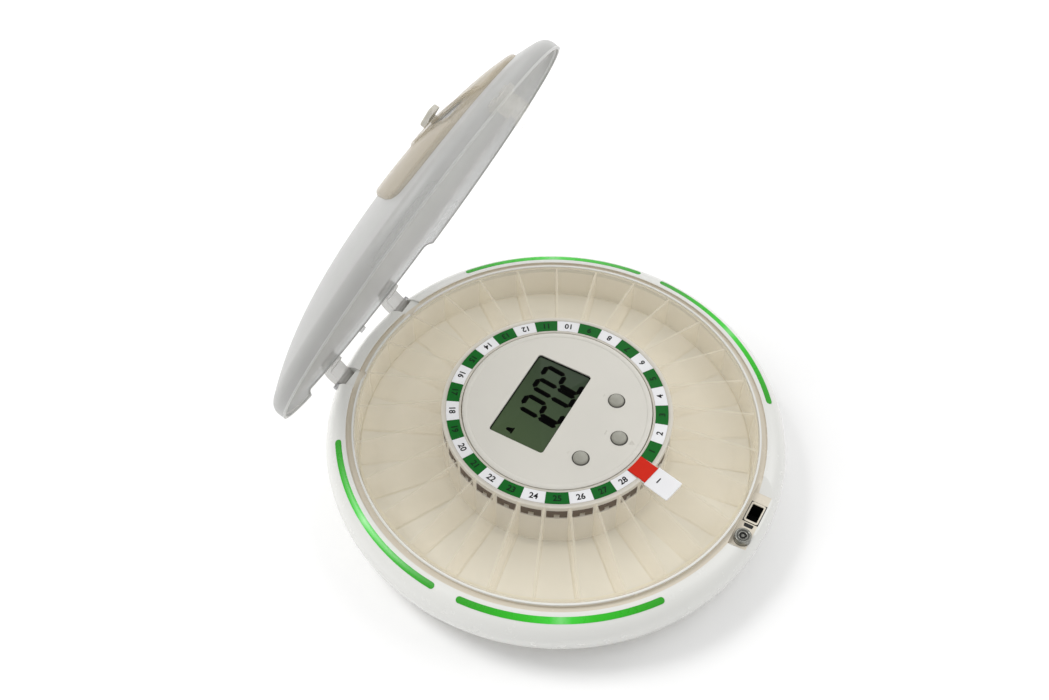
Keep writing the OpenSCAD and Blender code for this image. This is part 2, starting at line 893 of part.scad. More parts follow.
module tray_inner_wall() {
  mid = window_h / 2;
  color([0.82, 0.77, 0.68, 0.6])
    difference() {
      rotate_extrude()
        polygon([[neck_r1, tray_base_z], [neck_r2, tray_base_z], [neck_r2, flange_z],
          [bay_r - tray_wall, flange_z], [bay_r - tray_wall, tray_floor_z], [bay_r, tray_floor_z],
          [bay_r, panel_z], [edge_r, panel_z], [edge_r, label_z],
          [label_r1 - 0.1, label_z], [label_r1 - 0.1, panel_z - 0.05], [hub_r + 0.5, panel_z - 0.05],
          [hub_r + 0.5, flange_z], [neck_r1, flange_z]]);
      for (i = [0:sectors - 1])
        rotate([0, 0, front_a + i * sector_a])
          translate([bay_r, 0, flange_z - 1.2 - mid])
            cube([2 * tray_wall + 1, window_w, window_h], center = true);
    }
}

module tray_dividers() {
  top_in = panel_z - 0.3;
  color([0.84, 0.8, 0.72, 0.6])
    intersection() {
      for (i = [0:sectors - 1])
        rotate([0, 0, front_a + (i + 0.5) * sector_a])
          rotate([90, 0, 0])
            linear_extrude(height = divider_t, center = true)
              polygon([[bay_r - 2, tray_floor_z], [tray_r, tray_floor_z],
                [tray_r, tray_rim_z - 0.1], [bay_r, top_in], [bay_r - 2, top_in]]);
      ring(bay_r, tray_r - tray_wall, tray_floor_z, panel_z);
    }
}

// Labels of one colour: every second compartment, from the front
module labels(first) {
  edge = 0.05;
  for (i = [first:2:sectors - 2])
    fan(label_r1, label_r2, front_a + (i - 0.5) * sector_a + edge,
      front_a + (i + 0.5) * sector_a - edge, label_z, panel_z);
}

module green_labels() {
  color([0, 0.5, 0.18])
    labels(0);
}

module white_labels() {
  color([0.92, 0.92, 0.93])
    labels(1);
}

module home_label() {
  w = sector_a * PI / 180 * label_r1 - 0.2;
  color([0.84, 0.16, 0.02])
    rotate([0, 0, home_a])
      difference() {
        block(label_r1 - 1, red_r, -w / 2, w / 2, label_z, panel_z + label_t);
        disc(label_r1, label_z - 1, panel_z + 1);
        // Bridge over the tray's raised edge
        ring(edge_r, bay_r, label_z - 1, panel_z);
      }
}

module home_tab() {
  stem = 2 * bay_r * tan(sector_a / 2) - divider_t - 3 * run_gap;
  color([0.93, 0.93, 0.93])
    rotate([0, 0, home_a])
      difference() {
        union() {
          block(red_r + 0.05, tab_r, -tab_w / 2, tab_w / 2, label_z - 0.1, panel_z);
          // Stiff back that lies between the two dividers
          block(bay_r - 2, tab_r, -stem / 2, stem / 2, label_z - 1, label_z - 0.01);
        }
        disc(bay_r, label_z - 2, panel_z + 1);
      }
}

module home_magnet() {
  color([0.5, 0.5, 0.52])
    rotate([0, 0, home_a])
      translate([neck_r2, 0, board_z - 3])
        rotate([0, 90, 0])
          cylinder(r = 2, h = 2);
}

// Lock and latch

module latch_receiver() {
  color([0.05, 0.05, 0.05])
    difference() {
      receiver_box(0, receiver_z, recess_z);
      block(latch_x - latch_w / 2, latch_x + latch_w / 2, latch_y - latch_d / 2, latch_y + latch_d / 2,
        receiver_z + 1, recess_z + 1);
      // Way in for the bolt
      block(latch_x - latch_w / 2 - receiver_t - 1, latch_x, bolt_y - bolt_w / 2 - run_gap,
        bolt_y + bolt_w / 2 + run_gap, bolt_z - run_gap, bolt_z + bolt_t + run_gap);
    }
}

module lock_barrel() {
  color([0.6, 0.6, 0.6])
    translate([lock_x, lock_y, 0])
      ring(lock_r - 0.9, lock_r, recess_z - recess_t + 0.1, recess_z + lock_h);
}

module lock_rotor() {
  color([0.7, 0.68, 0.62])
    translate([lock_x, lock_y, 0]) {
      difference() {
        disc(lock_r - 0.96, recess_z - recess_t + 0.1, recess_z + lock_h - 0.3);
        // Round keyway with a centre pin
        ring(0.8, 1.9, recess_z + lock_h - 3, recess_z + lock_h + 1);
      }
      rotate([0, 0, 135])
        translate([crank_r, 0, 0])
          disc(crank_pin_r, bolt_z - 0.4, recess_z - recess_t + 0.2);
    }
}

module lock_bolt() {
  color([0.7, 0.7, 0.72])
    difference() {
      union() {
        block(lock_x - 4.2, lock_x + 3.4, lock_y - 1.6, lock_y + 3.6, bolt_z, bolt_z + bolt_t);
        block(lock_x, bolt_nose_x, bolt_y - bolt_w / 2, bolt_y + bolt_w / 2, bolt_z, bolt_z + bolt_t);
      }
      // Slot for the lock's driving pin
      block(lock_x - bolt_travel / 2 - crank_pin_r - 0.2, lock_x - bolt_travel / 2 + crank_pin_r + 0.2,
        lock_y + bolt_travel / 2 - crank_pin_r - 0.3, lock_y + crank_r + crank_pin_r + 0.3,
        bolt_z - 1, bolt_z + bolt_t + 1);
    }
}

module hinge_pins() {
  color([0.75, 0.72, 0.6])
    for (s = [-1, 1])
      translate([s * arm_x - pin_half + 0.2, hinge_y, hinge_z])
        rotate([0, 90, 0])
          cylinder(r = pin_r, h = 2 * pin_half - 0.4);
}

// Lid

module lid_dome() {
  color([0.75, 0.75, 0.74, 0.5])
    on_lid()
      difference() {
        rotate_extrude()
          polygon(concat(dome_line(0, lid_r, 0, 16), back(dome_line(0, lid_r, -lid_t, 16))));
        intersection() {
          dome_band(mouth_r1, mouth_r2, -9, 9, 2);
          wedge(mouth_c - mouth_a, mouth_c + mouth_a);
        }
      }
}

module lid_rim() {
  top = dome_edge_z - lid_t;
  color([0.78, 0.78, 0.77, 0.5])
    on_lid() {
      // Its foot is bevelled, so that it swings clear of the shoulder
      rotate_extrude()
        polygon([[lid_r - lid_t, lid_foot_z], [lid_r - foot_bevel, lid_foot_z],
          [lid_r, lid_foot_z + foot_bevel], [lid_r, top], [lid_r - lid_t, top]]);
      // Small centring tab between the hinge arms
      intersection() {
        block(-1.6, 1.6, lid_r - 1, lid_r + 1.6, lid_foot_z + 2.2, lid_foot_z + 4.2);
        ring(lid_r, lid_r + 9, lid_foot_z, top);
      }
    }
}

module lid_hinge_arms() {
  color([0.72, 0.72, 0.7, 0.6])
    on_lid()
      difference() {
        for (s = [-1, 1])
          translate([s * arm_x - arm_w / 2, 0, 0])
            rotate([90, 0, 90])
              linear_extrude(height = arm_w)
                difference() {
                  union() {
                    translate([hinge_y, hinge_z])
                      circle(r = knuckle_r);
                    polygon(concat(
                      [[hinge_y - knuckle_r + 0.2, hinge_z + 0.6]],
                      [[hinge_y + knuckle_r - 0.2, hinge_z + 0.6]],
                      arc(hinge_y - 8.4, dome_edge_z - arm_back_r + 0.7, arm_back_r, 12, 80, 7),
                      [[arm_root_y, dome_edge_z + 0.6], [arm_root_y, lid_foot_z + 2.6],
                        [notch_y, lid_foot_z + 2.2]]));
                  }
                  translate([hinge_y, hinge_z])
                    circle(r = pin_r + 0.08);
                }
        disc(lid_r, lid_foot_z - 1, crown_z);
      }
}

module lid_latch() {
  shelf_z = lid_foot_z + 1.2;
  hook_x = latch_w / 2 - 0.9;
  hook_y = latch_d / 2 - 0.6;
  color([0.85, 0.85, 0.84, 0.7])
    on_lid()
      difference() {
        union() {
          block(latch_x - latch_w / 2 - 1.2, latch_x + latch_w / 2 + 1.2, latch_y - latch_d / 2 - 0.6,
            -lid_r + 3, shelf_z, shelf_z + 2.4);
          block(latch_x - hook_x, latch_x + hook_x, latch_y - hook_y, latch_y + hook_y, hook_z, shelf_z + 0.1);
          for (s = [-1, 1])
            translate([latch_x + s * 4.1, latch_y, 0])
              disc(2.2, shelf_z + 2.3, shelf_z + 3.6);
        }
        disc(lid_r, 0, crown_z);
        // Notch that the bolt enters
        block(latch_x - hook_x - 1, latch_x - latch_w / 2 + bolt_travel + 0.4, bolt_y - 4, bolt_y + 4,
          bolt_z - 0.5, bolt_z + bolt_t + 0.5);
      }
}

module door_guide() {
  lip = 1.2;
  color([0.8, 0.74, 0.64, 0.5])
    on_lid()
      difference() {
        union() {
          dome_fan(guide_r1, guide_r2, 0.08, guide_h, front_a - guide_a, front_a + guide_a);
          // Raised lip around the opening
          dome_fan(mouth_r1 - lip, mouth_r2 + lip, guide_h - 0.3, guide_h + lip_h,
            mouth_c - mouth_a - lip, mouth_c + mouth_a + lip);
        }
        // Space that the door slides in
        dome_fan(guide_r1 + guide_wall, guide_r2 - guide_wall, -1, guide_h - guide_t,
          front_a - guide_a + 1.2, front_a + guide_a - 1.2);
        intersection() {
          dome_band(mouth_r1, mouth_r2, -9, 9, 2);
          wedge(mouth_c - mouth_a, mouth_c + mouth_a);
        }
        // Slot for the knob
        dome_fan(knob_r - 2.6, knob_r + 2.6, 0, 9, front_a - 4.6, door_c + 4.6);
      }
}

module dispensing_door() {
  color([0.85, 0.85, 0.83, 0.6])
    on_lid() {
      dome_fan(guide_r1 + guide_wall + 0.5, guide_r2 - guide_wall - 0.5, 0.25, guide_h - guide_t - 0.2,
        door_c - door_a, door_c + door_a);
      rotate([0, 0, door_c])
        translate([knob_r, 0, dome_z(knob_r) + 0.3]) {
          cylinder(r = 2, h = guide_h + lip_h);
          translate([-4.6, -2, guide_h + lip_h - 0.2])
            cube([9.2, 4, knob_h - lip_h]);
        }
    }
}

bottom_housing();
rim_ring();
tray_well();
hub_sleeve();
feet();
housing_screws();
battery_box();
battery_cells();
battery_contacts();
battery_door();
light_strip(1, 1);  // light_strip_1
light_strip(-1, 1);  // light_strip_2
light_strip(-1, -1);  // light_strip_3
light_strip(1, -1);  // light_strip_4
led_boards();
leds();
control_panel();
display_window();
display_module();
main_board();
board_screws();
button_switches();
buzzer();
home_sensor();
gear_motor();
motor_bracket();
motor_screws();
drive_pinion();
button(0);  // button_left
button(1);  // button_middle
button(2);  // button_right
tray_floor();
tray_outer_wall();
tray_inner_wall();
tray_dividers();
ring_gear();
home_magnet();
green_labels();
white_labels();
home_label();
home_tab();
latch_receiver();
lock_barrel();
lock_rotor();
lock_bolt();
hinge_pins();
lid_dome();
lid_rim();
lid_hinge_arms();
lid_latch();
door_guide();
dispensing_door();
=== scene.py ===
"""Looks of the automatic pill dispenser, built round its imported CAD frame. All lengths are in metres."""

import math

import bmesh
import bpy
import numpy as np
from mathutils import Matrix, Vector


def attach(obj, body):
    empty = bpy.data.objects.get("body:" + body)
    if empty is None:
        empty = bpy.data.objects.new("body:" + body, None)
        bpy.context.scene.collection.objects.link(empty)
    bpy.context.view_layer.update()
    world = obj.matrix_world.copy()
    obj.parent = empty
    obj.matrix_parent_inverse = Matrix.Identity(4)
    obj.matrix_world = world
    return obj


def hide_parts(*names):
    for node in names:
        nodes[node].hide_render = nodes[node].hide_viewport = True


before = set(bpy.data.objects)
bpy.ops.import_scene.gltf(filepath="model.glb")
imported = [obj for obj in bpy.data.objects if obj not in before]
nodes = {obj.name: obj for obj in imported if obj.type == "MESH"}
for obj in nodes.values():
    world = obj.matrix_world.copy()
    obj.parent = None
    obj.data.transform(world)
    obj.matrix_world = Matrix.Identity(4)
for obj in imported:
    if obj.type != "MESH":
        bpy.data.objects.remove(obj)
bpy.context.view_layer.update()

MM = 0.001
SECTORS = 29
SECTOR = 2 * math.pi / SECTORS
FRONT = -math.pi / 2
HOME = FRONT - SECTOR
HUB_R = 45.6 * MM
LABEL_R1 = 47.2 * MM
LABEL_R2 = 53.3 * MM
PANEL_Z = 44.0 * MM
BUTTONS = {"left": (-19.8, -22.8), "middle": (-1.0, -33.5), "right": (17.8, -22.8)}
STRIP_MIDDLE, STRIP_HALF = math.radians(29), math.radians(27)


# Meshes

def make_piece(name, points, faces, body, material, replaces=()):
    """Puts points and faces into a mesh, merges doubles, turns faces outwards and rides on a body."""
    mesh = bpy.data.meshes.new(name)
    mesh.from_pydata(np.asarray(points, float).tolist(), [], [[int(i) for i in f] for f in faces])
    work = bmesh.new()
    work.from_mesh(mesh)
    bmesh.ops.remove_doubles(work, verts=work.verts, dist=1e-7)
    bmesh.ops.dissolve_degenerate(work, edges=work.edges, dist=1e-8)
    bmesh.ops.delete(work, geom=[v for v in work.verts if not v.link_faces], context="VERTS")
    bmesh.ops.recalc_face_normals(work, faces=work.faces)
    work.to_mesh(mesh)
    work.free()
    piece = bpy.data.objects.new(name, mesh)
    bpy.context.scene.collection.objects.link(piece)
    piece.data.materials.append(material)
    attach(piece, body)
    if replaces:
        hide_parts(*replaces)
    return piece


def shade_smooth(piece, angle=40):
    """Smooth shading, with edges sharper than the angle kept."""
    piece.data.shade_smooth()
    piece.data.set_sharp_from_angle(angle=math.radians(angle))
    return piece


def grid_faces(rows, columns, close_rows=False, close_columns=False):
    """Quads between neighbouring rows and columns of a grid of points, counted row by row."""
    i = np.arange(rows if close_rows else rows - 1)[:, None]
    j = np.arange(columns if close_columns else columns - 1)[None, :]
    i2, j2 = (i + 1) % rows, (j + 1) % columns
    corners = [i * columns + j, i * columns + j2, i2 * columns + j2, i2 * columns + j]
    return np.stack([np.broadcast_to(c, (i.shape[0], j.shape[1])) for c in corners], -1).reshape(-1, 4)


def lathe(profile, centre=(0, 0), turns=96, closed=False):
    """Points (cx + r cos t, cy + r sin t, z) for each (r, z) of the profile and each angle t of a full turn."""
    profile = np.asarray(profile, float)
    t = np.linspace(0, 2 * np.pi, turns, endpoint=False)
    r, z = profile[:, 0][:, None], profile[:, 1][:, None]
    points = np.stack([centre[0] + r * np.cos(t), centre[1] + r * np.sin(t), z + 0 * t], -1)
    return points.reshape(-1, 3), grid_faces(len(profile), turns, closed, True)


def rounded_box_outline(width, depth, radius, steps=6):
    """Outline of a rectangle with round corners: four quarter arcs, each about its own corner centre."""
    corner = np.repeat(np.arange(4), steps + 1)
    turn = corner * np.pi / 2 + np.tile(np.linspace(0, np.pi / 2, steps + 1), 4)
    sx = np.array([1, -1, -1, 1])[corner]
    sy = np.array([1, 1, -1, -1])[corner]
    x = sx * (width / 2 - radius) + radius * np.cos(turn)
    y = sy * (depth / 2 - radius) + radius * np.sin(turn)
    return np.stack([x, y], -1)


def plate(outline, low, high, bevel, steps=4):
    """Plate with a rounded top edge: the outline goes up and is drawn in along a quarter circle."""
    outline = np.asarray(outline, float)
    after, before = np.roll(outline, -1, 0), np.roll(outline, 1, 0)
    along = after - before
    along /= np.linalg.norm(along, axis=1)[:, None] + 1e-12
    inward = np.stack([-along[:, 1], along[:, 0]], -1)
    a = np.linspace(0, np.pi / 2, steps + 1)
    inset = np.concatenate([[0], bevel * (1 - np.cos(a))])
    height = np.concatenate([[low], high - bevel + bevel * np.sin(a)])
    rings = outline[None] + inset[:, None, None] * inward[None]
    rings = np.concatenate([rings, np.broadcast_to(outline.mean(0), (1,) + outline.shape)])
    height = np.append(height, high)
    bottom = np.broadcast_to(outline.mean(0), (1,) + outline.shape)
    rings = np.concatenate([bottom, rings])
    height = np.concatenate([[low], height])
    z = np.broadcast_to(height[:, None, None], rings.shape[:2] + (1,))
    points = np.concatenate([rings, z], -1).reshape(-1, 3)
    return points, grid_faces(len(rings), len(outline), False, True)


def shell(outer, inner, solid, wrap=False, pole=False):
    """Wall between two grids of points: quads where a cell is solid, and edges round openings and borders."""
    rows, columns = outer.shape[:2]
    idx = np.arange(rows * columns).reshape(rows, columns)
    far = rows * columns
    right = np.roll(idx, -1, 1) if wrap else idx[:, 1:]
    left = idx if wrap else idx[:, :-1]
    a, b, c, d = left[:-1], right[:-1], right[1:], left[1:]
    faces = [np.stack([a, b, c, d], -1)[solid], np.stack([d, c, b, a], -1)[solid] + far]
    padded = np.zeros((rows + 1, solid.shape[1]), bool)
    padded[1:-1] = solid
    edge = padded[1:] != padded[:-1]
    if pole:
        edge[0] = False
    faces.append(np.stack([left, right, right + far, left + far], -1)[edge])
    if wrap:
        edge = solid != np.roll(solid, 1, 1)
    else:
        padded = np.zeros((solid.shape[0], solid.shape[1] + 2), bool)
        padded[:, 1:-1] = solid
        edge = padded[:, 1:] != padded[:, :-1]
    faces.append(np.stack([idx[:-1], idx[1:], idx[1:] + far, idx[:-1] + far], -1)[edge])
    return np.concatenate([outer.reshape(-1, 3), inner.reshape(-1, 3)]), np.concatenate(faces)


def frame_of(outer, inner, low, high, sink):
    """Flat frame between two outlines of the same count, with its inner edge sunk a little."""
    rings = [(outer, low), (outer, high), (inner, high - sink), (inner, low)]
    points = np.concatenate([np.concatenate([p, np.full((len(p), 1), z)], 1) for p, z in rings])
    return points, grid_faces(4, len(outer), True, True)


def join_parts(parts):
    """One list of points and faces from several."""
    points, faces, start = [], [], 0
    for p, f in parts:
        points.append(np.asarray(p, float))
        faces.extend([[int(i) + start for i in face] for face in f])
        start += len(p)
    return np.concatenate(points), faces


def lettering(text, size, thickness, weight):
    """Flat figures of a text, as mesh arrays centred on their own box, standing up along Y."""
    curve = bpy.data.curves.new("figure", "FONT")
    curve.body = text
    curve.size = size
    curve.align_x = "CENTER"
    curve.align_y = "CENTER"
    curve.offset = weight
    curve.extrude = thickness / 2
    curve.resolution_u = 3
    holder = bpy.data.objects.new("figure", curve)
    bpy.context.scene.collection.objects.link(holder)
    bpy.context.view_layer.update()
    mesh = bpy.data.meshes.new_from_object(holder.evaluated_get(bpy.context.evaluated_depsgraph_get()))
    points = np.zeros(len(mesh.vertices) * 3)
    mesh.vertices.foreach_get("co", points)
    points = points.reshape(-1, 3)
    faces = [list(f.vertices) for f in mesh.polygons]
    bpy.data.objects.remove(holder)
    bpy.data.curves.remove(curve)
    bpy.data.meshes.remove(mesh)
    points[:, :2] -= (points[:, :2].min(0) + points[:, :2].max(0)) / 2
    return points, faces


def set_on_ring(points, radius, angle, z):
    """Moves flat figures to a place on a ring, with their tops towards the ring's centre."""
    up = np.array([-math.cos(angle), -math.sin(angle)])
    right = np.array([up[1], -up[0]])
    xy = -up * radius + points[:, :1] * right + points[:, 1:2] * up
    return np.concatenate([xy, points[:, 2:3] + z], 1)


# Shader helpers

def group(name, inputs, outputs):
    """Empty shader node group with named inputs and outputs."""
    tree = bpy.data.node_groups.new(name, "ShaderNodeTree")
    for label, kind, value in inputs:
        socket = tree.interface.new_socket(name=label, in_out="INPUT", socket_type=kind)
        socket.default_value = value
    for label, kind in outputs:
        tree.interface.new_socket(name=label, in_out="OUTPUT", socket_type=kind)
    return tree, tree.nodes.new("NodeGroupInput"), tree.nodes.new("NodeGroupOutput")


def add(tree, kind, **settings):
    """New node with its settings and input values; an input is given as in_NAME or by number as in_0."""
    node = tree.nodes.new(kind)
    for key, value in settings.items():
        if key.startswith("in_"):
            name = key[3:].replace("_", " ")
            node.inputs[int(name) if name.isdigit() else name].default_value = value
        else:
            setattr(node, key, value)
    return node


def feed(tree, source, socket):
    """Links an output to an input socket, or sets a plain value on it."""
    if isinstance(source, bpy.types.NodeSocket):
        tree.links.new(source, socket)
    else:
        socket.default_value = source


def maths(tree, operation, *values, clamp=False):
    """Result of an operation on outputs or plain numbers."""
    node = add(tree, "ShaderNodeMath", operation=operation, use_clamp=clamp)
    for value, socket in zip(values, node.inputs):
        feed(tree, value, socket)
    return node.outputs[0]


def spread(tree, value, low, high, new_low, new_high):
    """Carries a value from one range to another, held at the ends."""
    node = add(tree, "ShaderNodeMapRange", in_1=low, in_2=high, in_3=new_low, in_4=new_high)
    feed(tree, value, node.inputs[0])
    return node.outputs[0]


def blend(tree, kind, share, first, second):
    """Mix of two colours (kind RGBA) or two numbers (kind FLOAT) by a share."""
    node = add(tree, "ShaderNodeMix", data_type=kind)
    first_socket, second_socket, result = (6, 7, 2) if kind == "RGBA" else (2, 3, 0)
    feed(tree, share, node.inputs[0])
    feed(tree, first, node.inputs[first_socket])
    feed(tree, second, node.inputs[second_socket])
    return node.outputs[result]


def noise(tree, place, scale, detail, roughness):
    """Strength of a noise pattern at a place."""
    node = add(tree, "ShaderNodeTexNoise", in_Detail=detail, in_Roughness=roughness)
    feed(tree, place, node.inputs["Vector"])
    feed(tree, scale, node.inputs["Scale"])
    return node.outputs["Fac"]


def colour_ramp(tree, value, stops):
    """Colour that runs through the stops as the value rises."""
    node = add(tree, "ShaderNodeValToRGB")
    elements = node.color_ramp.elements
    for element, (at, colour) in zip(elements, (stops[0], stops[-1])):
        element.position, element.color = at, colour
    for at, colour in stops[1:-1]:
        elements.new(at).color = colour
    feed(tree, value, node.inputs[0])
    return node.outputs["Color"]


def relief(tree, shader, height, strength, distance, soft_edge):
    """Bump from a height, over normals that are rounded at the edges where a soft edge is given."""
    bump = add(tree, "ShaderNodeBump", in_Strength=strength, in_Distance=distance)
    feed(tree, height, bump.inputs["Height"])
    if soft_edge:
        edge = add(tree, "ShaderNodeBevel", samples=4, in_Radius=soft_edge)
        feed(tree, edge.outputs["Normal"], bump.inputs["Normal"])
    feed(tree, bump.outputs["Normal"], shader.inputs["Normal"])


def linear(r, g, b):
    """Linear colour from screen values of 0 to 255."""
    c = np.array([r, g, b]) / 255
    c = np.where(c <= 0.04045, c / 12.92, ((c + 0.055) / 1.055) ** 2.4)
    return (float(c[0]), float(c[1]), float(c[2]), 1)


def moulding_group():
    """Moulded plastic: fine grain in the surface, slow waves of tone, and rub marks in the roughness."""
    tree, gin, gout = group("moulded_plastic_surface", [
        ("Colour", "NodeSocketColor", (0.8, 0.8, 0.8, 1)), ("Tone", "NodeSocketFloat", 0.04),
        ("Roughness", "NodeSocketFloat", 0.35), ("Grain size", "NodeSocketFloat", 1800.0),
    ], [("Colour", "NodeSocketColor"), ("Roughness", "NodeSocketFloat"), ("Height", "NodeSocketFloat")])
    place = add(tree, "ShaderNodeTexCoord").outputs["Object"]
    waves = spread(tree, noise(tree, place, 22.0, 3.0, 0.55), 0.3, 0.7, -1.0, 1.0)
    brightness = maths(tree, "ADD", maths(tree, "MULTIPLY", waves, gin.outputs["Tone"]), 1.0)
    tint = add(tree, "ShaderNodeHueSaturation")
    feed(tree, gin.outputs["Colour"], tint.inputs["Color"])
    feed(tree, brightness, tint.inputs["Value"])
    rubbed = spread(tree, noise(tree, place, 160.0, 4.0, 0.7), 0.35, 0.75, -0.02, 0.03)
    feed(tree, tint.outputs["Color"], gout.inputs["Colour"])
    feed(tree, maths(tree, "ADD", gin.outputs["Roughness"], rubbed, clamp=True), gout.inputs["Roughness"])
    feed(tree, noise(tree, place, gin.outputs["Grain size"], 3.0, 0.6), gout.inputs["Height"])
    return tree


def ring_group():
    """Angle round the upright axis, distance from it and the plain axes; Fold lays the four quarters on one."""
    names = ("Angle", "Radius", "Height", "X", "Y")
    tree, gin, gout = group("ring_coordinates", [("Fold", "NodeSocketFloat", 0.0)],
                            [(name, "NodeSocketFloat") for name in names])
    axes = add(tree, "ShaderNodeSeparateXYZ")
    feed(tree, add(tree, "ShaderNodeTexCoord").outputs["Object"], axes.inputs[0])
    x, y, z = axes.outputs
    fold_x, fold_y = (blend(tree, "FLOAT", gin.outputs["Fold"], axis, maths(tree, "ABSOLUTE", axis))
                      for axis in (x, y))
    flat = add(tree, "ShaderNodeCombineXYZ")
    feed(tree, x, flat.inputs[0])
    feed(tree, y, flat.inputs[1])
    length = add(tree, "ShaderNodeVectorMath", operation="LENGTH")
    feed(tree, flat.outputs[0], length.inputs[0])
    results = (maths(tree, "ARCTAN2", fold_y, fold_x), length.outputs["Value"], z, x, y)
    for name, result in zip(names, results):
        feed(tree, result, gout.inputs[name])
    return tree


MOULDING = moulding_group()
RING = ring_group()


def new_material(name, **values):
    """Material with a Principled BSDF whose plain values are set on its own sockets."""
    made = bpy.data.materials.new(name)
    made.use_nodes = True
    tree = made.node_tree
    shader = tree.nodes["Principled BSDF"]
    for key, value in values.items():
        shader.inputs[key.replace("_", " ")].default_value = value
    return made, tree, shader


def grained(name, colour, roughness, tone=0.04, grain=1800.0, bump=0.00002, soft_edge=0.0, **values):
    """Material, node tree, shader and surface group of a moulded plastic."""
    made, tree, shader = new_material(name, **values)
    surface = add(tree, "ShaderNodeGroup", node_tree=MOULDING)
    surface.inputs["Colour"].default_value = colour
    surface.inputs["Tone"].default_value = tone
    surface.inputs["Roughness"].default_value = roughness
    surface.inputs["Grain size"].default_value = grain
    feed(tree, surface.outputs["Colour"], shader.inputs["Base Color"])
    feed(tree, surface.outputs["Roughness"], shader.inputs["Roughness"])
    relief(tree, shader, surface.outputs["Height"], 0.6, bump, soft_edge)
    return made, tree, shader, surface


def plastic(*settings, **values):
    """Moulded plastic with grain, slow tone changes and, where asked, edges that catch the light."""
    return grained(*settings, **values)[0]


def metal(name, colour, roughness, scale, stretch=(1, 1, 1), soft_edge=0.0):
    """Turned or pressed metal: fine drawn lines in roughness and height, and darker stains."""
    made, tree, shader = new_material(name, Metallic=1.0)
    place = add(tree, "ShaderNodeTexCoord").outputs["Object"]
    grow = add(tree, "ShaderNodeMapping", in_Scale=stretch)
    feed(tree, place, grow.inputs["Vector"])
    lines = noise(tree, grow.outputs[0], scale, 4.0, 0.6)
    feed(tree, spread(tree, lines, 0.3, 0.7, roughness * 0.7, roughness * 1.4), shader.inputs["Roughness"])
    stained = spread(tree, noise(tree, place, 260.0, 3.0, 0.5), 0.45, 0.75, 0.0, 1.0)
    stain = tuple(c * 0.62 for c in colour[:3]) + (1,)
    feed(tree, blend(tree, "RGBA", stained, colour, stain), shader.inputs["Base Color"])
    relief(tree, shader, lines, 0.5, 0.00002, soft_edge)
    return made


# Materials

def housing_material():
    """Glossy white moulding, with painted shade, a darker and warmer white, in the groove round the tray and on
    the floor of the recess.
    """
    white, painted_shade_white = linear(229, 229, 225), linear(222, 214, 198)
    made, tree, shader, surface = grained("housing_white", white, 0.26, 0.006, 1500.0, 0.000003)
    ring = add(tree, "ShaderNodeGroup", node_tree=RING)

    def near(name, middle, half):
        return maths(tree, "COMPARE", ring.outputs[name], middle * MM, half * MM)

    # Painted shade: the groove below the rim and the floor of the recess take the darker, warmer white.
    below_rim = maths(tree, "LESS_THAN", ring.outputs["Height"], 33.1 * MM)
    groove = maths(tree, "MULTIPLY", near("Radius", 100.5, 1.7), below_rim)
    recess = maths(tree, "MULTIPLY", near("Y", -103.5, 4.5), near("Height", 30.5, 1.3))
    recess = maths(tree, "MULTIPLY", recess, near("X", -3.4, 15.7))
    painted_shade_mask = maths(tree, "MAXIMUM", groove, recess)
    feed(tree, blend(tree, "RGBA", painted_shade_mask, white, painted_shade_white), surface.inputs["Colour"])
    return made


def printed_card(name, colour, roughness, fibre):
    """Printed sticker: tiny ink mottle, a soft paper relief and a slightly worn edge tone."""
    return plastic(name, colour, roughness, 0.06, fibre, 0.00002, 0.00015, Specular_IOR_Level=0.2)


def frosted_parts(name, colour, roughness, opacity, edge_opacity, tone, soft_edge=0.0, glow=0.0, **values):
    """Material, tree, shader and surface of a clear plastic that is denser where it is seen on edge."""
    made, tree, shader, surface = grained(name, colour, roughness, tone, 1500.0, 0.000002, soft_edge,
                                          IOR=1.49, **values)
    edge = add(tree, "ShaderNodeLayerWeight", in_Blend=0.35)
    feed(tree, spread(tree, edge.outputs["Facing"], 0.0, 1.0, opacity, edge_opacity), shader.inputs["Alpha"])
    # Painted light: the glow stands for light scattered within the frost.
    shader.inputs["Emission Color"].default_value = colour
    shader.inputs["Emission Strength"].default_value = glow
    return made, tree, shader, surface


def frosted(*settings, **values):
    """Frosted clear plastic: a milky body with a satin grain and, where asked, a painted glow that stands for
    light scattered within.
    """
    return frosted_parts(*settings, **values)[0]


def edge_lit(name, colour, edge_colour, *settings, **values):
    """Frosted clear plastic whose narrow upward faces gather light: they are denser and warmer."""
    made, tree, shader, surface = frosted_parts(name, colour, *settings, **values)
    axes = add(tree, "ShaderNodeSeparateXYZ")
    feed(tree, add(tree, "ShaderNodeNewGeometry").outputs["True Normal"], axes.inputs[0])
    upward = spread(tree, axes.outputs["Z"], 0.55, 0.8, 0.0, 1.0)
    feed(tree, blend(tree, "RGBA", upward, colour, edge_colour), surface.inputs["Colour"])
    side_alpha = shader.inputs["Alpha"].links[0].from_socket
    feed(tree, blend(tree, "FLOAT", upward, side_alpha, 0.5), shader.inputs["Alpha"])
    return made


def light_strip_material():
    """Green light guide: bright at the lamp in its middle and fading towards both ends."""
    made, tree, shader, surface = grained("light_strip", linear(28, 128, 10), 0.28, 0.05, 1400.0, 0.00002,
                                          Emission_Strength=0.5)
    ring = add(tree, "ShaderNodeGroup", node_tree=RING)
    ring.inputs["Fold"].default_value = 1.0
    off = maths(tree, "ABSOLUTE", maths(tree, "SUBTRACT", ring.outputs["Angle"], STRIP_MIDDLE))
    glow = colour_ramp(tree, spread(tree, off, 0.0, STRIP_HALF, 0.0, 1.0), [
        (0.0, linear(160, 255, 160)), (0.1, linear(70, 235, 70)), (0.3, linear(36, 205, 24)),
        (0.7, linear(24, 160, 8)), (1.0, linear(30, 130, 12))])
    feed(tree, glow, shader.inputs["Emission Color"])
    return made


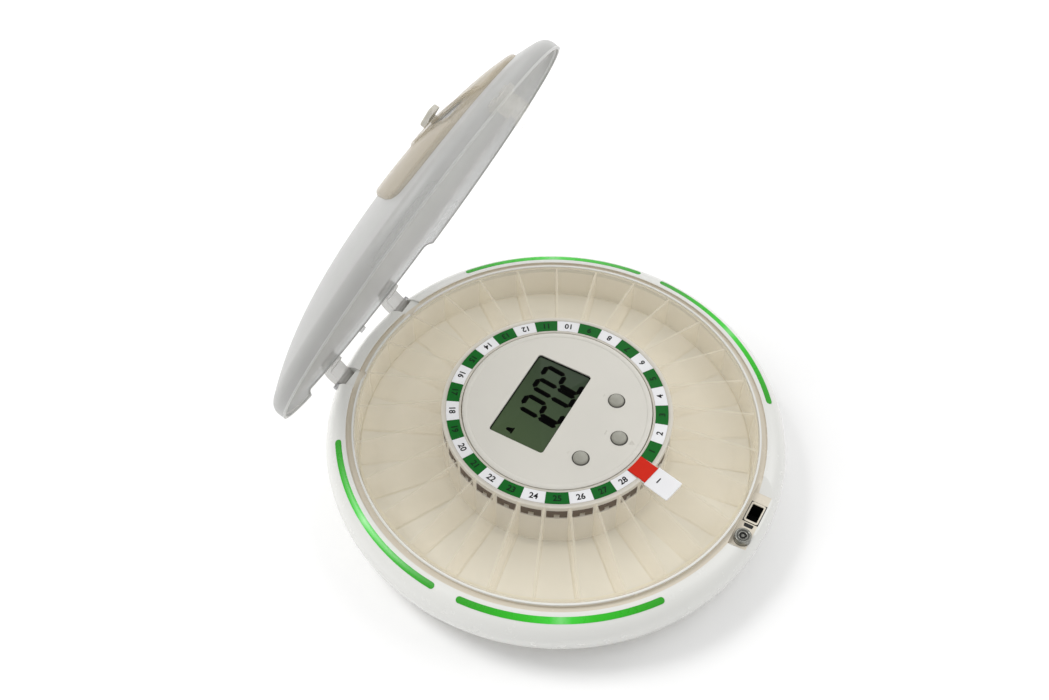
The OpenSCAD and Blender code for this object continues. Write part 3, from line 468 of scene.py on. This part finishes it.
def display_material():
    """Grey-green display: lighter towards its left end, darker at the lower right."""
    made, tree, shader, surface = grained("display_green", linear(70, 88, 60), 0.3, 0.03, 700.0, 0.000004,
                                          Specular_IOR_Level=0.2)
    ring = add(tree, "ShaderNodeGroup", node_tree=RING)
    # Painted shading: the colour runs from darker at the lower right to lighter towards the left end.
    across = maths(tree, "MULTIPLY_ADD", ring.outputs["X"], -0.75, 0.0)
    slant = maths(tree, "MULTIPLY_ADD", ring.outputs["Y"], 0.25, across)
    painted_fade = spread(tree, slant, -18 * MM, 24 * MM, 0.0, 1.0)
    feed(tree, colour_ramp(tree, painted_fade, [(0.0, linear(44, 60, 40)), (1.0, linear(76, 94, 64))]),
         surface.inputs["Colour"])
    return made


housing_white = housing_material()
# Painted light: the faint glow lifts the well's white, which lies in the tray's shade.
well_white = plastic("well_white", linear(244, 242, 235), 0.5, 0.01, 1300.0, 0.000003,
                     Emission_Color=linear(244, 240, 230), Emission_Strength=0.045)
panel_white = plastic("panel_white", linear(224, 221, 212), 0.42, 0.025, 1300.0, 0.00003, 0.0004)
bay_plastic = plastic("bay_plastic", linear(216, 213, 203), 0.5, 0.04, 1200.0, 0.00003, 0.0003)
button_grey = plastic("button_grey", linear(166, 165, 154), 0.34, 0.04, 2200.0, 0.00003)
# Painted shadow: the dark grey in the gaps round the buttons.
gap_shadow_grey = plastic("gap_shadow_grey", linear(70, 68, 62), 0.6, 0.05, 1800.0, 0.00001)
black_plastic = plastic("black_plastic", linear(14, 14, 15), 0.45, 0.1, 1800.0, 0.00002, 0.0002)
dark_rubber = plastic("dark_rubber", linear(46, 46, 45), 0.7, 0.1, 2600.0, 0.00005, 0.0004)
gear_plastic = plastic("gear_plastic", linear(214, 205, 184), 0.4, 0.04, 1800.0, 0.00002, 0.0002)
board_green = plastic("board_green", linear(22, 92, 48), 0.45, 0.15, 900.0, 0.00003, 0.0002)
module_glass = plastic("module_glass", linear(78, 92, 62), 0.2, 0.05, 900.0, 0.00001, 0.0002)
led_white = plastic("led_white", linear(244, 242, 214), 0.3, 0.02, 1800.0, 0.00001, 0.0001)
# Painted shade: the dark brown seen through the tray's windows.
window_shadow_dark = plastic("window_shadow_dark", linear(92, 78, 68), 0.5, 0.08, 1400.0, 0.00003)
slot_black = plastic("slot_black", linear(10, 10, 10), 0.6, 0.1, 1400.0, 0.00002)
bead_white = plastic("bead_white", linear(240, 237, 228), 0.3, 0.02, 1500.0, 0.00001)
# Black of the display's figures, also used for the painted shadow round the display's edge.
segment_and_shadow_black = plastic("segment_and_shadow_black", linear(3, 3, 3), 0.5, 0.05, 1800.0, 0.000005, Specular_IOR_Level=0.02)
segment_shadow = plastic("segment_shadow", linear(24, 26, 14), 0.5, 0.05, 1800.0, 0.000005,
                         Specular_IOR_Level=0.02)
display_green = display_material()
strip_light = light_strip_material()

steel = metal("steel", linear(176, 176, 178), 0.3, 900.0, (1, 1, 4), 0.0002)
lock_metal = metal("lock_metal", linear(150, 150, 144), 0.26, 1400.0, (1, 1, 0.3))
cell_case = metal("cell_case", linear(190, 188, 184), 0.34, 600.0, (6, 0.5, 6), 0.0003)

green_card = printed_card("green_card", linear(0, 104, 28), 0.5, 3000.0)
white_card = printed_card("white_card", linear(244, 244, 246), 0.5, 2600.0)
red_card = printed_card("red_card", linear(216, 32, 0), 0.5, 3000.0)
black_ink = printed_card("black_ink", linear(16, 16, 18), 0.55, 3000.0)
green_ink = printed_card("green_ink", linear(0, 34, 10), 0.55, 3000.0)

# The glows here are painted light, lifting the tray's frost out of the shade inside it.
tray_frost = frosted("tray_frost", linear(250, 245, 232), 0.44, 0.28, 0.45, 0.02, glow=0.085,
                     Specular_IOR_Level=0.12)
hub_frost = frosted("hub_frost", linear(236, 231, 220), 0.4, 0.6, 0.9, 0.02, glow=0.05)
wall_frost = edge_lit("wall_frost", linear(248, 240, 222), linear(206, 197, 174), 0.44, 0.12, 0.32, 0.02,
                      glow=0.06, Specular_IOR_Level=0.12)
divider_frost = edge_lit("divider_frost", linear(250, 242, 224), linear(212, 205, 186), 0.44, 0.08, 0.28, 0.02,
                         glow=0.06, Specular_IOR_Level=0.12)
lid_frost = frosted("lid_frost", linear(182, 182, 180), 0.36, 0.4, 0.86, 0.02)
# Painted highlight: a lighter frost for the bright foot line of the lid.
lid_edge_highlight = frosted("lid_edge_highlight", linear(214, 214, 212), 0.3, 0.55, 0.85, 0.02)
arm_frost = frosted("arm_frost", linear(196, 194, 189), 0.36, 0.45, 0.8, 0.03, 0.0005)
guide_frost = frosted("guide_frost", linear(170, 158, 134), 0.36, 0.22, 0.62, 0.03)
latch_clear = frosted("latch_clear", linear(222, 219, 208), 0.3, 0.1, 0.35, 0.03, 0.0004)
knob_frost = frosted("knob_frost", linear(200, 196, 184), 0.34, 0.6, 0.92, 0.03)

LOOKS = {
    housing_white: ["bottom_housing", "rim_ring", "battery_door"],
    well_white: ["tray_well", "hub_sleeve"],
    panel_white: ["control_panel"],
    bay_plastic: ["battery_box"],
    black_plastic: ["button_switches", "buzzer", "home_sensor", "latch_receiver"],
    dark_rubber: ["feet"],
    gear_plastic: ["ring_gear", "drive_pinion"],
    board_green: ["main_board", "led_boards"],
    module_glass: ["display_module"],
    led_white: ["leds"],
    steel: ["housing_screws", "board_screws", "motor_screws", "battery_contacts", "gear_motor",
            "motor_bracket", "home_magnet", "lock_bolt", "hinge_pins"],
    lock_metal: ["lock_barrel", "lock_rotor"],
    cell_case: ["battery_cells"],
    green_card: ["green_labels"],
    white_card: ["white_labels", "home_tab"],
    red_card: ["home_label"],
    tray_frost: ["tray_floor"],
    wall_frost: ["tray_outer_wall"],
    hub_frost: ["tray_inner_wall"],
    divider_frost: ["tray_dividers"],
    lid_frost: ["lid_dome", "lid_rim"],
    arm_frost: ["lid_hinge_arms"],
    guide_frost: ["door_guide"],
    latch_clear: ["lid_latch", "dispensing_door"],
    strip_light: ["light_strip_1", "light_strip_2", "light_strip_3", "light_strip_4"],
}
for look, names in LOOKS.items():
    for name in names:
        slots = nodes[name].data.materials
        if not slots:
            slots.append(look)
        for i in range(len(slots)):
            slots[i] = look


# Buttons

def button_piece(place, x, y):
    """Domed cap: a straight side, a quarter-round edge and a crown that falls with the square of the radius."""
    r, edge, top, dome = 3.66 * MM, 1.5 * MM, 45.7 * MM, 0.35 * MM
    a = np.linspace(0, np.pi / 2, 12)
    side = np.stack([r - edge + edge * np.cos(a), top - dome - edge + edge * np.sin(a)], -1)
    s = np.linspace(1, 0, 12)[1:]
    crown = np.stack([(r - edge) * s, top - dome * s ** 2], -1)
    flange = np.array([[0, 40.5], [4.75, 40.5], [4.75, 41.3], [3.66, 41.3]]) * MM
    profile = np.concatenate([flange, side, crown])
    points, faces = lathe(profile, (x * MM, y * MM), 64)
    cap = make_piece(place + "_button_cap", points, faces, place + "_button", button_grey,
                     ["button_" + place])
    return shade_smooth(cap, 50)


for place, (x, y) in BUTTONS.items():
    button_piece(place, x, y)


def button_gap_shadows():
    """Painted shadow round each button: a dark ring between the cap's circle and a wider one moved to the
    front, where the cap's shadow falls in the gap.
    """
    t = np.linspace(0, 2 * np.pi, 64, endpoint=False)
    circle = np.stack([np.cos(t), np.sin(t)], -1) * MM
    shift = np.array([-0.08, -0.16]) * MM
    parts = []
    for place in BUTTONS.values():
        centre = np.array(place) * MM
        outer, inner = circle * 4.2 + shift + centre, circle * 3.72 + centre
        parts.append(frame_of(outer, inner, 43.7 * MM, 44.03 * MM, 0.02 * MM))
    points, faces = join_parts(parts)
    return make_piece("button_gap_shadows", points, faces, "base", gap_shadow_grey)


button_gap_shadows()


# Panel edge and marks

def panel_edge():
    """Soft raised edge round the panel: a flat bead whose height is the sine of the way across it."""
    s = np.linspace(0, 1, 14)
    r = HUB_R - 2.6 * MM + 2.62 * MM * s
    z = PANEL_Z + 0.22 * MM * np.sin(np.pi * s ** 0.8) - 0.75 * MM * np.clip((s - 0.82) / 0.18, 0, 1) ** 2
    low = np.array([[HUB_R + 0.02 * MM, PANEL_Z - 1.2 * MM], [HUB_R - 2.6 * MM, PANEL_Z - 1.2 * MM]])
    points, faces = lathe(np.concatenate([np.stack([r, z], -1), low]), turns=192, closed=True)
    return shade_smooth(make_piece("panel_edge", points, faces, "base", panel_white), 60)


panel_edge()


def panel_marks():
    """Small raised pointer in front of the middle button, a bar beside it and a dot beside each side button."""
    tip = np.array([[0.0, -1.5], [1.35, 0.8], [-1.35, 0.8]]) * MM + np.array([-0.5, -40.1]) * MM
    inner = tip.mean(0) + (tip - tip.mean(0)) * 0.55
    z0, z1 = PANEL_Z - 0.05 * MM, PANEL_Z + 0.14 * MM
    rings = np.stack([np.concatenate([p, np.full((3, 1), z)], 1) for p, z in
                      ((tip, z0), (tip * 0.94 + tip.mean(0) * 0.06, z1), (inner, z1), (inner, z0))])
    parts = [(rings.reshape(-1, 3), grid_faces(4, 3, True, True))]
    bar = rounded_box_outline(2.6 * MM, 0.5 * MM, 0.24 * MM, 3) + np.array([BUTTONS["middle"][0], -26.6]) * MM
    parts.append(plate(bar, z0, z1, 0.08 * MM, 2))
    for place in ("left", "right"):
        dot = rounded_box_outline(1.5 * MM, 0.5 * MM, 0.24 * MM, 3) + np.array([BUTTONS[place][0], -16.2]) * MM
        parts.append(plate(dot, z0, z1, 0.08 * MM, 2))
    points, faces = join_parts(parts)
    return make_piece("panel_marks", points, faces, "base", panel_white)


panel_marks()


# Display

DISPLAY_Z = 43.2 * MM
DISPLAY_C = np.array([-1.0, 8.4]) * MM
face_outline = rounded_box_outline(50.8 * MM, 28.6 * MM, 1.5 * MM) + DISPLAY_C
points, faces = plate(face_outline, 40.8 * MM, DISPLAY_Z, 0.15 * MM)
shade_smooth(make_piece("display_face", points, faces, "base", display_green,
                        ["display_window"]), 50)

SEGMENTS = {"0": "abcdef", "1": "bc", "2": "abged"}
DIGIT_H, DIGIT_W, BAR = 20.7 * MM, 6.2 * MM, 2.15 * MM
SLANT = 0.1


def bar_outline(start, end, width):
    """Six-cornered bar between two points, with its ends cut to points."""
    start, end = np.array(start), np.array(end)
    along = (end - start) / np.linalg.norm(end - start)
    side = np.array([-along[1], along[0]])
    half = width / 2
    start, end = start + along * half * 0.3, end - along * half * 0.3
    return np.array([start, start + (along - side) * half, end - (along + side) * half, end,
                     end + (side - along) * half, start + (along + side) * half])


def digit_bars(digit, cx):
    """Outlines of a digit's bars: seven bars on a slanted frame about the display's middle height."""
    h, w = DIGIT_H / 2, DIGIT_W / 2
    at = {"a": ((-w, h), (w, h)), "g": ((-w, 0), (w, 0)), "d": ((-w, -h), (w, -h)),
          "f": ((-w, 0), (-w, h)), "b": ((w, 0), (w, h)), "e": ((-w, -h), (-w, 0)), "c": ((w, -h), (w, 0))}
    outlines = []
    for letter in SEGMENTS[digit]:
        bar = bar_outline(*at[letter], BAR)
        middle = 5.9 * MM
        outlines.append(np.stack([cx + bar[:, 0] + SLANT * bar[:, 1], middle + bar[:, 1]], -1))
    return outlines


def bell_outline():
    """Small bell: its half width swells from crown to lip as a smooth curve, mirrored about the middle."""
    t = np.linspace(0, 1, 12)
    half = 0.25 + 0.75 * np.sqrt(1 - (1 - t) ** 2) * (0.75 + 0.25 * t ** 4)
    y = 1.5 - 2.6 * t
    left = np.stack([-half * 1.25, y], -1)
    right = np.stack([half[::-1] * 1.25, y[::-1]], -1)
    return np.concatenate([left, right]) * MM


def display_figures(name, shift, low, high, material):
    """All dark figures of the display, moved sideways by a shift."""
    parts = []
    for digit, cx in (("1", -12.1), ("2", -3.8), ("0", 7.5), ("2", 16.0)):
        for outline in digit_bars(digit, cx * MM):
            parts.append(plate(outline + shift, low, high, 0.02 * MM, 1))
    place = np.array([-21.6, 14.4]) * MM
    parts.append(plate(bell_outline() + place + shift, low, high, 0.02 * MM, 1))
    base = rounded_box_outline(3.6 * MM, 0.5 * MM, 0.2 * MM, 3) + place + np.array([0, -1.6 * MM])
    parts.append(plate(base + shift, low, high, 0.02 * MM, 1))
    points, faces = join_parts(parts)
    return make_piece(name, points, faces, "base", material)


display_figures("display_figure_shadows", np.array([0.3, -0.35]) * MM, DISPLAY_Z - 0.02 * MM,
                DISPLAY_Z + 0.03 * MM, segment_shadow)
display_figures("display_figures", np.array([0.0, 0.0]), DISPLAY_Z - 0.02 * MM,
                DISPLAY_Z + 0.12 * MM, segment_and_shadow_black)


def display_edge_shadow():
    """Painted shadow round the display's edge: a thin dark wall that follows the window's outline just inside
    it, wider on its +X and +Y sides where the recess shades the display.
    """
    outer = rounded_box_outline(50.8 * MM, 28.6 * MM, 1.5 * MM, 6) + DISPLAY_C
    inner = rounded_box_outline(49.9 * MM, 27.9 * MM, 1.2 * MM, 6) + DISPLAY_C + np.array([-0.2, -0.1]) * MM
    points, faces = frame_of(outer, inner, DISPLAY_Z - 0.1 * MM, DISPLAY_Z + 0.16 * MM, 0.08 * MM)
    return make_piece("display_edge_shadow", points, faces, "base", segment_and_shadow_black)


display_edge_shadow()


# Labels

def label_numbers():
    """Plain numbers on the ring of labels, one to twenty-eight, and one on the home tab."""
    thin = 0.04 * MM
    dark, light = [], []
    for k in range(SECTORS - 1):
        points, faces = lettering(str(k + 1), 4.2 * MM, thin, 0.00011)
        points = set_on_ring(points, (LABEL_R1 + LABEL_R2) / 2, FRONT + k * SECTOR, PANEL_Z + 0.02 * MM)
        (dark if k % 2 == 0 else light).append((points, faces))
    for name, parts, ink, slot in (("numbers_on_green", dark, green_ink, "label_green"),
                                   ("numbers_on_white", light, black_ink, "label_white")):
        points, faces = join_parts(parts)
        make_piece(name, points, faces, "tray", ink)
    points, faces = lettering("1", 4.4 * MM, thin, 0.0001)
    points[:, :2] = np.stack([points[:, 1], -points[:, 0]], -1)
    points = set_on_ring(points, 61.4 * MM, HOME, PANEL_Z + 0.02 * MM)
    make_piece("home_number", points, faces, "tray", black_ink)


label_numbers()


# Tray windows

def window_shadow_leaves():
    """Painted shade: a dark leaf in each window, standing for the shade behind the wall, bent to the wall's
    round, with a notch in the middle of its foot.
    """
    parts = []
    z = np.array([35.3, 37.7, 41.65]) * MM
    for k in range(SECTORS):
        t = HOME + SECTOR * k + np.radians([-5.0, -3.2, -1.35, 1.35, 3.2, 5.0])
        zz, tt = np.meshgrid(z, t, indexing="ij")
        outer, inner = (np.stack([r * MM * np.cos(tt), r * MM * np.sin(tt), zz], -1) for r in (55.3, 54.9))
        solid = np.ones((2, 5), bool)
        solid[0, 2] = False
        parts.append(shell(outer, inner, solid))
    points, faces = join_parts(parts)
    return make_piece("window_shadow_leaves", points, faces, "tray", window_shadow_dark)


def label_bead():
    """Bright bead round the labels: a half round on a straight foot, turned about the middle."""
    a = np.linspace(0, np.pi, 9)
    top = np.stack([54.75 * MM + 0.35 * MM * np.cos(a), 43.6 * MM + 0.35 * MM * np.sin(a)], -1)
    foot = np.array([[54.4, 42.35], [55.1, 42.35]]) * MM
    points, faces = lathe(np.concatenate([top, foot]), turns=232, closed=True)
    return shade_smooth(make_piece("label_bead", points, faces, "tray", bead_white), 60)


label_bead()
window_shadow_leaves()


# Lid

LID_R, LID_T, LID_FOOT = 101.2 * MM, 1.8 * MM, 33.5 * MM
CROWN_Z, DOME_DROP, DOME_POWER = 57.0 * MM, 17.0 * MM, 2.8
HINGE_Y, HINGE_Z = 106.6 * MM, 28.0 * MM
LID_OPEN = math.radians(67.3)
MOUTH_R1, MOUTH_R2, MOUTH_A = 59.0 * MM, 90.0 * MM, math.radians(5.5)
GUIDE_R1, GUIDE_R2, GUIDE_A, GUIDE_H = 44.0 * MM, 94.0 * MM, math.radians(32.5), 1.8 * MM
KNOB_R, DOOR_C = 54.0 * MM, FRONT + math.radians(16)


def dome_z(r):
    """Height of the closed dome: the crown less a drop that grows with the power 2.8 of the radius."""
    return CROWN_Z - DOME_DROP * (r / LID_R) ** DOME_POWER


def on_lid(points):
    """Closed place to open place: a turn about the hinge line, parallel to X."""
    points = np.asarray(points, float).reshape(-1, 3)
    y, z = points[:, 1] - HINGE_Y, points[:, 2] - HINGE_Z
    c, s = math.cos(-LID_OPEN), math.sin(-LID_OPEN)
    return np.stack([points[:, 0], HINGE_Y + y * c - z * s, HINGE_Z + y * s + z * c], -1)


def foot_height(t):
    """Height of the lid's foot round the rim: it steps up by 2.4 mm behind, where the hinge arms are."""
    rise = np.clip((56 * MM - np.abs(LID_R * np.cos(t))) / (2.5 * MM), 0, 1) * (np.sin(t) > 0)
    return LID_FOOT + 2.4 * MM * rise * rise * (3 - 2 * rise)


def lid_shell():
    """Dome, round corner and rim as one turned shell; the mouth is cut out and the foot steps up behind."""
    corner = 5.5 * MM
    slope = math.atan(DOME_DROP * DOME_POWER / LID_R)
    a = np.linspace(slope, np.pi / 2, 10)
    corner_r = LID_R - corner + corner * np.sin(a)
    centre_z = dome_z(corner_r[0]) - corner * math.cos(slope)
    corner_z = centre_z + corner * np.cos(a)
    dome_r = np.concatenate([np.linspace(0, MOUTH_R1, 14), np.linspace(MOUTH_R1, MOUTH_R2, 10)[1:],
                             np.linspace(MOUTH_R2, corner_r[0], 5)[1:-1]])
    lean = np.arctan(DOME_DROP * DOME_POWER / LID_R * (dome_r / LID_R) ** (DOME_POWER - 1))
    outer_r = np.concatenate([dome_r, corner_r])
    outer_z = np.concatenate([dome_z(dome_r), corner_z])
    turn = np.concatenate([lean, a])
    inner_r = np.maximum(outer_r - LID_T * np.sin(turn), 0)
    inner_z = outer_z - LID_T * np.cos(turn)
    t = np.unique(np.round(np.concatenate([np.linspace(-np.pi, np.pi, 289)[:-1],
                                           [FRONT - MOUTH_A, FRONT + MOUTH_A]]), 6))
    foot = foot_height(t)
    down = np.array([0.25, 0.5, 0.75, 0.93, 1.0])[:, None]
    rim_z = corner_z[-1] + (foot[None] - corner_z[-1]) * down
    rim_out = np.array([LID_R, LID_R, LID_R, LID_R, LID_R - 0.45 * MM])
    rim_in = LID_R - np.array([1.8, 1.8, 1.2, 1.2, 1.0]) * MM

    def grid(r, z, rim):
        r_all = np.concatenate([np.repeat(r[:, None], len(t), 1), np.repeat(rim[:, None], len(t), 1)])
        z_all = np.concatenate([np.repeat(z[:, None], len(t), 1), rim_z])
        return np.stack([r_all * np.cos(t), r_all * np.sin(t), z_all], -1)

    outer, inner = grid(outer_r, outer_z, rim_out), grid(inner_r, inner_z, rim_in)
    all_r = np.concatenate([outer_r, rim_out])
    rows = (all_r[:-1] + all_r[1:]) / 2
    middle = t + np.diff(np.append(t, t[0] + 2 * np.pi)) / 2
    in_mouth = ((rows > MOUTH_R1) & (rows < MOUTH_R2) & (np.arange(len(rows)) < len(dome_r)))[:, None]
    solid = ~(in_mouth & (np.abs(middle - FRONT) < MOUTH_A)[None])
    tab = rounded_box_outline(3.2 * MM, 2.4 * MM, 0.4 * MM, 3) + np.array([0, 101.55]) * MM
    points, faces = join_parts([shell(outer, inner, solid, wrap=True, pole=True),
                                plate(tab, 34.6 * MM, 36.8 * MM, 0.3 * MM)])
    return shade_smooth(make_piece("lid_shell", on_lid(points), faces, "lid", lid_frost,
                                   ["lid_dome", "lid_rim"]), 35)


lid_shell()


def lid_foot_highlight():
    """Painted highlight on the lid's foot: a small square section in a lighter frost, carried round the rim at
    the foot's height.
    """
    t = np.linspace(-np.pi, np.pi, 288, endpoint=False)
    foot = foot_height(t)
    rows = [(101.24, -0.03), (101.24, 0.75), (99.95, 0.75), (99.95, -0.03)]
    points = [np.stack([r * MM * np.cos(t), r * MM * np.sin(t), foot + up * MM], -1) for r, up in rows]
    make_piece("lid_foot_highlight", on_lid(np.concatenate(points)), grid_faces(4, len(t), True, True),
               "lid", lid_edge_highlight)


lid_foot_highlight()


def lid_guide():
    """Raised guide of the door: a fan with a quarter-round border, a bead round the mouth and a knob slot."""
    slot_r1, slot_r2 = KNOB_R - 2.6 * MM, KNOB_R + 2.6 * MM
    slot_a1, slot_a2 = FRONT - math.radians(4.6), DOOR_C + math.radians(4.6)
    r = np.unique(np.round(np.concatenate([
        GUIDE_R1 + (GUIDE_R2 - GUIDE_R1) * (0.5 - 0.5 * np.cos(np.linspace(0, np.pi, 34))),
        np.linspace(slot_r1, slot_r2, 5), np.linspace(MOUTH_R1 - 2 * MM, MOUTH_R1, 5),
        np.linspace(MOUTH_R2, MOUTH_R2 + 2 * MM, 5)]), 6))
    t = np.unique(np.round(np.concatenate([
        FRONT + GUIDE_A * -np.cos(np.linspace(0, np.pi, 60)),
        [slot_a1, slot_a2], FRONT - MOUTH_A - np.linspace(0, 0.035, 6),
        FRONT + MOUTH_A + np.linspace(0, 0.035, 6)]), 6))
    u = (2 * (r - GUIDE_R1) / (GUIDE_R2 - GUIDE_R1) - 1)[:, None]
    v = ((t - FRONT) / GUIDE_A)[None]
    pull = 1 - 0.09 * np.abs(u * v) ** 4
    rr = (GUIDE_R1 + GUIDE_R2) / 2 + (GUIDE_R2 - GUIDE_R1) / 2 * u * pull
    tt = FRONT + GUIDE_A * v * pull
    gap_r = np.minimum(r - GUIDE_R1, GUIDE_R2 - r)[:, None]
    gap_a = ((GUIDE_A - np.abs(t - FRONT)) * 70 * MM)[None]
    rise = np.clip(np.minimum(gap_r, gap_a) / (3.2 * MM), 0, 1)
    high = GUIDE_H * np.sqrt(1 - (1 - rise) ** 2)
    off_r = np.maximum(MOUTH_R1 - r, r - MOUTH_R2)[:, None]
    off_a = ((np.abs(t - FRONT) - MOUTH_A) * 72 * MM)[None]
    off = np.maximum(off_r, off_a)
    bead = np.sin(np.pi * np.clip((off + 0.4 * MM) / (2.4 * MM), 0, 1))
    high = high + 1.0 * MM * bead
    low = np.maximum(high - 0.8 * MM - 0.4 * MM * bead, 0.06 * MM)

    def grid(h):
        return np.stack([rr * np.cos(tt), rr * np.sin(tt), dome_z(rr) + h], -1)

    mr, mt = ((r[1:] + r[:-1]) / 2)[:, None], ((t[1:] + t[:-1]) / 2)[None]
    mouth = (mr > MOUTH_R1) & (mr < MOUTH_R2) & (np.abs(mt - FRONT) < MOUTH_A)
    slot = (mr > slot_r1) & (mr < slot_r2) & (mt > slot_a1) & (mt < slot_a2)
    points, faces = shell(grid(high), grid(low), ~(mouth | slot))
    return shade_smooth(make_piece("lid_guide", on_lid(points), faces, "lid", guide_frost,
                                   ["door_guide"]), 40)


lid_guide()


def mouth_door():
    """Sliding door: a thin fan that follows the dome, with a round stem and a soft-edged bar as its knob."""
    r = np.linspace(GUIDE_R1 + 2 * MM, GUIDE_R2 - 2 * MM, 26)
    t = DOOR_C + np.radians(np.linspace(-8.5, 8.5, 14))
    rr, tt = np.meshgrid(r, t, indexing="ij")
    leaf = [np.stack([rr * np.cos(tt), rr * np.sin(tt), dome_z(rr) + h * MM], -1) for h in (0.78, 0.27)]
    parts = [shell(leaf[0], leaf[1], np.ones((25, 13), bool))]
    foot = dome_z(KNOB_R)
    stem_profile = np.array([[0, 0.6], [1.9, 0.6], [1.9, 3.7], [0, 3.7]]) * MM + np.array([0, foot])
    stem = lathe(stem_profile, (KNOB_R, 0), 32)
    outline = rounded_box_outline(10.4 * MM, 7.0 * MM, 2.2 * MM, 6) + np.array([KNOB_R, 0])
    bar = plate(outline, foot + 3.2 * MM, foot + 5.8 * MM, 0.9 * MM, 6)
    c, s = math.cos(DOOR_C), math.sin(DOOR_C)
    for points, faces in (stem, bar):
        x, y, z = points.T
        parts.append((np.stack([x * c - y * s, x * s + y * c, z], -1), faces))
    points, faces = join_parts(parts)
    leaf = make_piece("mouth_door_leaf", on_lid(points), faces, "mouth_door", knob_frost,
                      ["dispensing_door"])
    return shade_smooth(leaf, 40)


mouth_door()


# Lock

LOCK = (-14.2 * MM, -104.3 * MM)


def lock_rings():
    """Turned rings of the lock: a barrel lip and a rotor ring, each a half-round bead on a straight wall."""

    def bead(r1, r2, z0, z1):
        a = np.linspace(0, np.pi, 9)
        middle, half = (r1 + r2) / 2, (r2 - r1) / 2
        top = np.stack([middle + half * np.cos(a), z1 - half + half * np.sin(a)], -1)
        return np.concatenate([[[r2, z0]], top, [[r1, z0]]]) * MM

    points, faces = lathe(bead(2.96, 3.9, 31.2, 33.45), LOCK, 64, True)
    shade_smooth(make_piece("lock_lip", points, faces, "base", lock_metal), 60)
    points, faces = lathe(bead(1.7, 2.35, 32.6, 33.25), LOCK, 64, True)
    shade_smooth(make_piece("lock_ring", points, faces, "lock", lock_metal), 60)
    dark = [lathe(bead(r1, r2, 32.5, 33.06), LOCK, 48, True) for r1, r2 in ((1.0, 1.4), (2.45, 2.8))]
    points, faces = join_parts(dark)
    make_piece("lock_dark_rings", points, faces, "lock", slot_black)


lock_rings()


def recess_details():
    """Lip round the latch hole, and a black plate of painted shade for the slot beside it, both on the floor of
    the recess.
    """
    centre = np.array([1.1, -104.2]) * MM
    points, faces = frame_of(rounded_box_outline(11.3 * MM, 7.0 * MM, 1.0 * MM) + centre,
                             rounded_box_outline(9.3 * MM, 5.5 * MM, 0.5 * MM) + centre,
                             29.6 * MM, 30.3 * MM, 0.05 * MM)
    make_piece("latch_hole_lip", points, faces, "base", housing_white)
    # Painted shade: a black plate where the slot lies in shade.
    slot = rounded_box_outline(2.0 * MM, 4.2 * MM, 0.4 * MM, 3) + np.array([-6.5, -104.2]) * MM
    points, faces = plate(slot, 29.5 * MM, 30.1 * MM, 0.05 * MM, 1)
    make_piece("bolt_slot_shade", points, faces, "base", slot_black)


recess_details()


# Stage, light and camera

def build_stage():
    """Wide pale floor: its height is zero near the middle and then grows with the square of the distance."""
    x = np.linspace(-4, 4, 41)
    y = np.linspace(-4, 4, 41)
    gx, gy = np.meshgrid(x, y, indexing="ij")
    far = np.clip(np.hypot(gx, gy) - 2.5, 0, None)
    points = np.stack([gx, gy, 0.12 * far ** 2], -1).reshape(-1, 3)
    mesh = bpy.data.meshes.new("floor")
    mesh.from_pydata(points.tolist(), [], grid_faces(41, 41).tolist())
    floor = bpy.data.objects.new("floor", mesh)
    bpy.context.scene.collection.objects.link(floor)
    floor.data.shade_smooth()
    made, tree, shader = new_material("pale_floor", Roughness=0.9)
    shader.inputs["Base Color"].default_value = (0.99, 0.99, 0.99, 1)
    floor.data.materials.append(made)


def build_light(name, place, target, size, watts):
    """Round soft lamp at a place, turned to its target."""
    data = bpy.data.lights.new(name, "AREA")
    data.shape = "DISK"
    data.size = size
    data.energy = watts
    lamp = bpy.data.objects.new(name, data)
    lamp.location = place
    lamp.rotation_mode = "QUATERNION"
    lamp.rotation_quaternion = (Vector(target) - Vector(place)).to_track_quat("-Z", "Y")
    bpy.context.scene.collection.objects.link(lamp)


def build_camera():
    """Camera at the photograph's place, looking along its own axis with a small roll."""
    azimuth, elevation, roll = math.radians(-62.22), math.radians(52.51), math.radians(1.316)
    back = Vector((math.sin(azimuth) * math.cos(elevation), -math.cos(azimuth) * math.cos(elevation),
                   math.sin(elevation)))
    right = Vector((math.cos(azimuth), math.sin(azimuth), 0))
    up = back.cross(right)
    turned_right = right * math.cos(roll) + up * math.sin(roll)
    turned_up = up * math.cos(roll) - right * math.sin(roll)
    data = bpy.data.cameras.new("camera")
    data.lens = 46.498
    data.sensor_width = 36
    data.clip_start, data.clip_end = 0.01, 50
    camera = bpy.data.objects.new("camera", data)
    turn = Matrix((turned_right, turned_up, back)).transposed().to_4x4()
    camera.matrix_world = Matrix.Translation((-0.33787, -0.15952, 0.57569)) @ turn
    bpy.context.scene.collection.objects.link(camera)
    bpy.context.scene.camera = camera


build_stage()
build_light("key", (-0.25, 0.95, 1.35), (0, 0, 0), 0.7, 12)
build_light("fill", (0.9, -0.9, 1.4), (0, 0, 0), 1.4, 7)
build_light("side", (1.3, 0.5, 0.9), (0, 0, 0.05), 1.2, 4)
build_camera()

world = bpy.data.worlds.new("studio")
bpy.context.scene.world = world
world.use_nodes = True
world.node_tree.nodes["Background"].inputs["Color"].default_value = (1, 1, 1, 1)
world.node_tree.nodes["Background"].inputs["Strength"].default_value = 0.62
bpy.context.scene.view_settings.view_transform = "Standard"
bpy.context.scene.cycles.transparent_max_bounces = 32
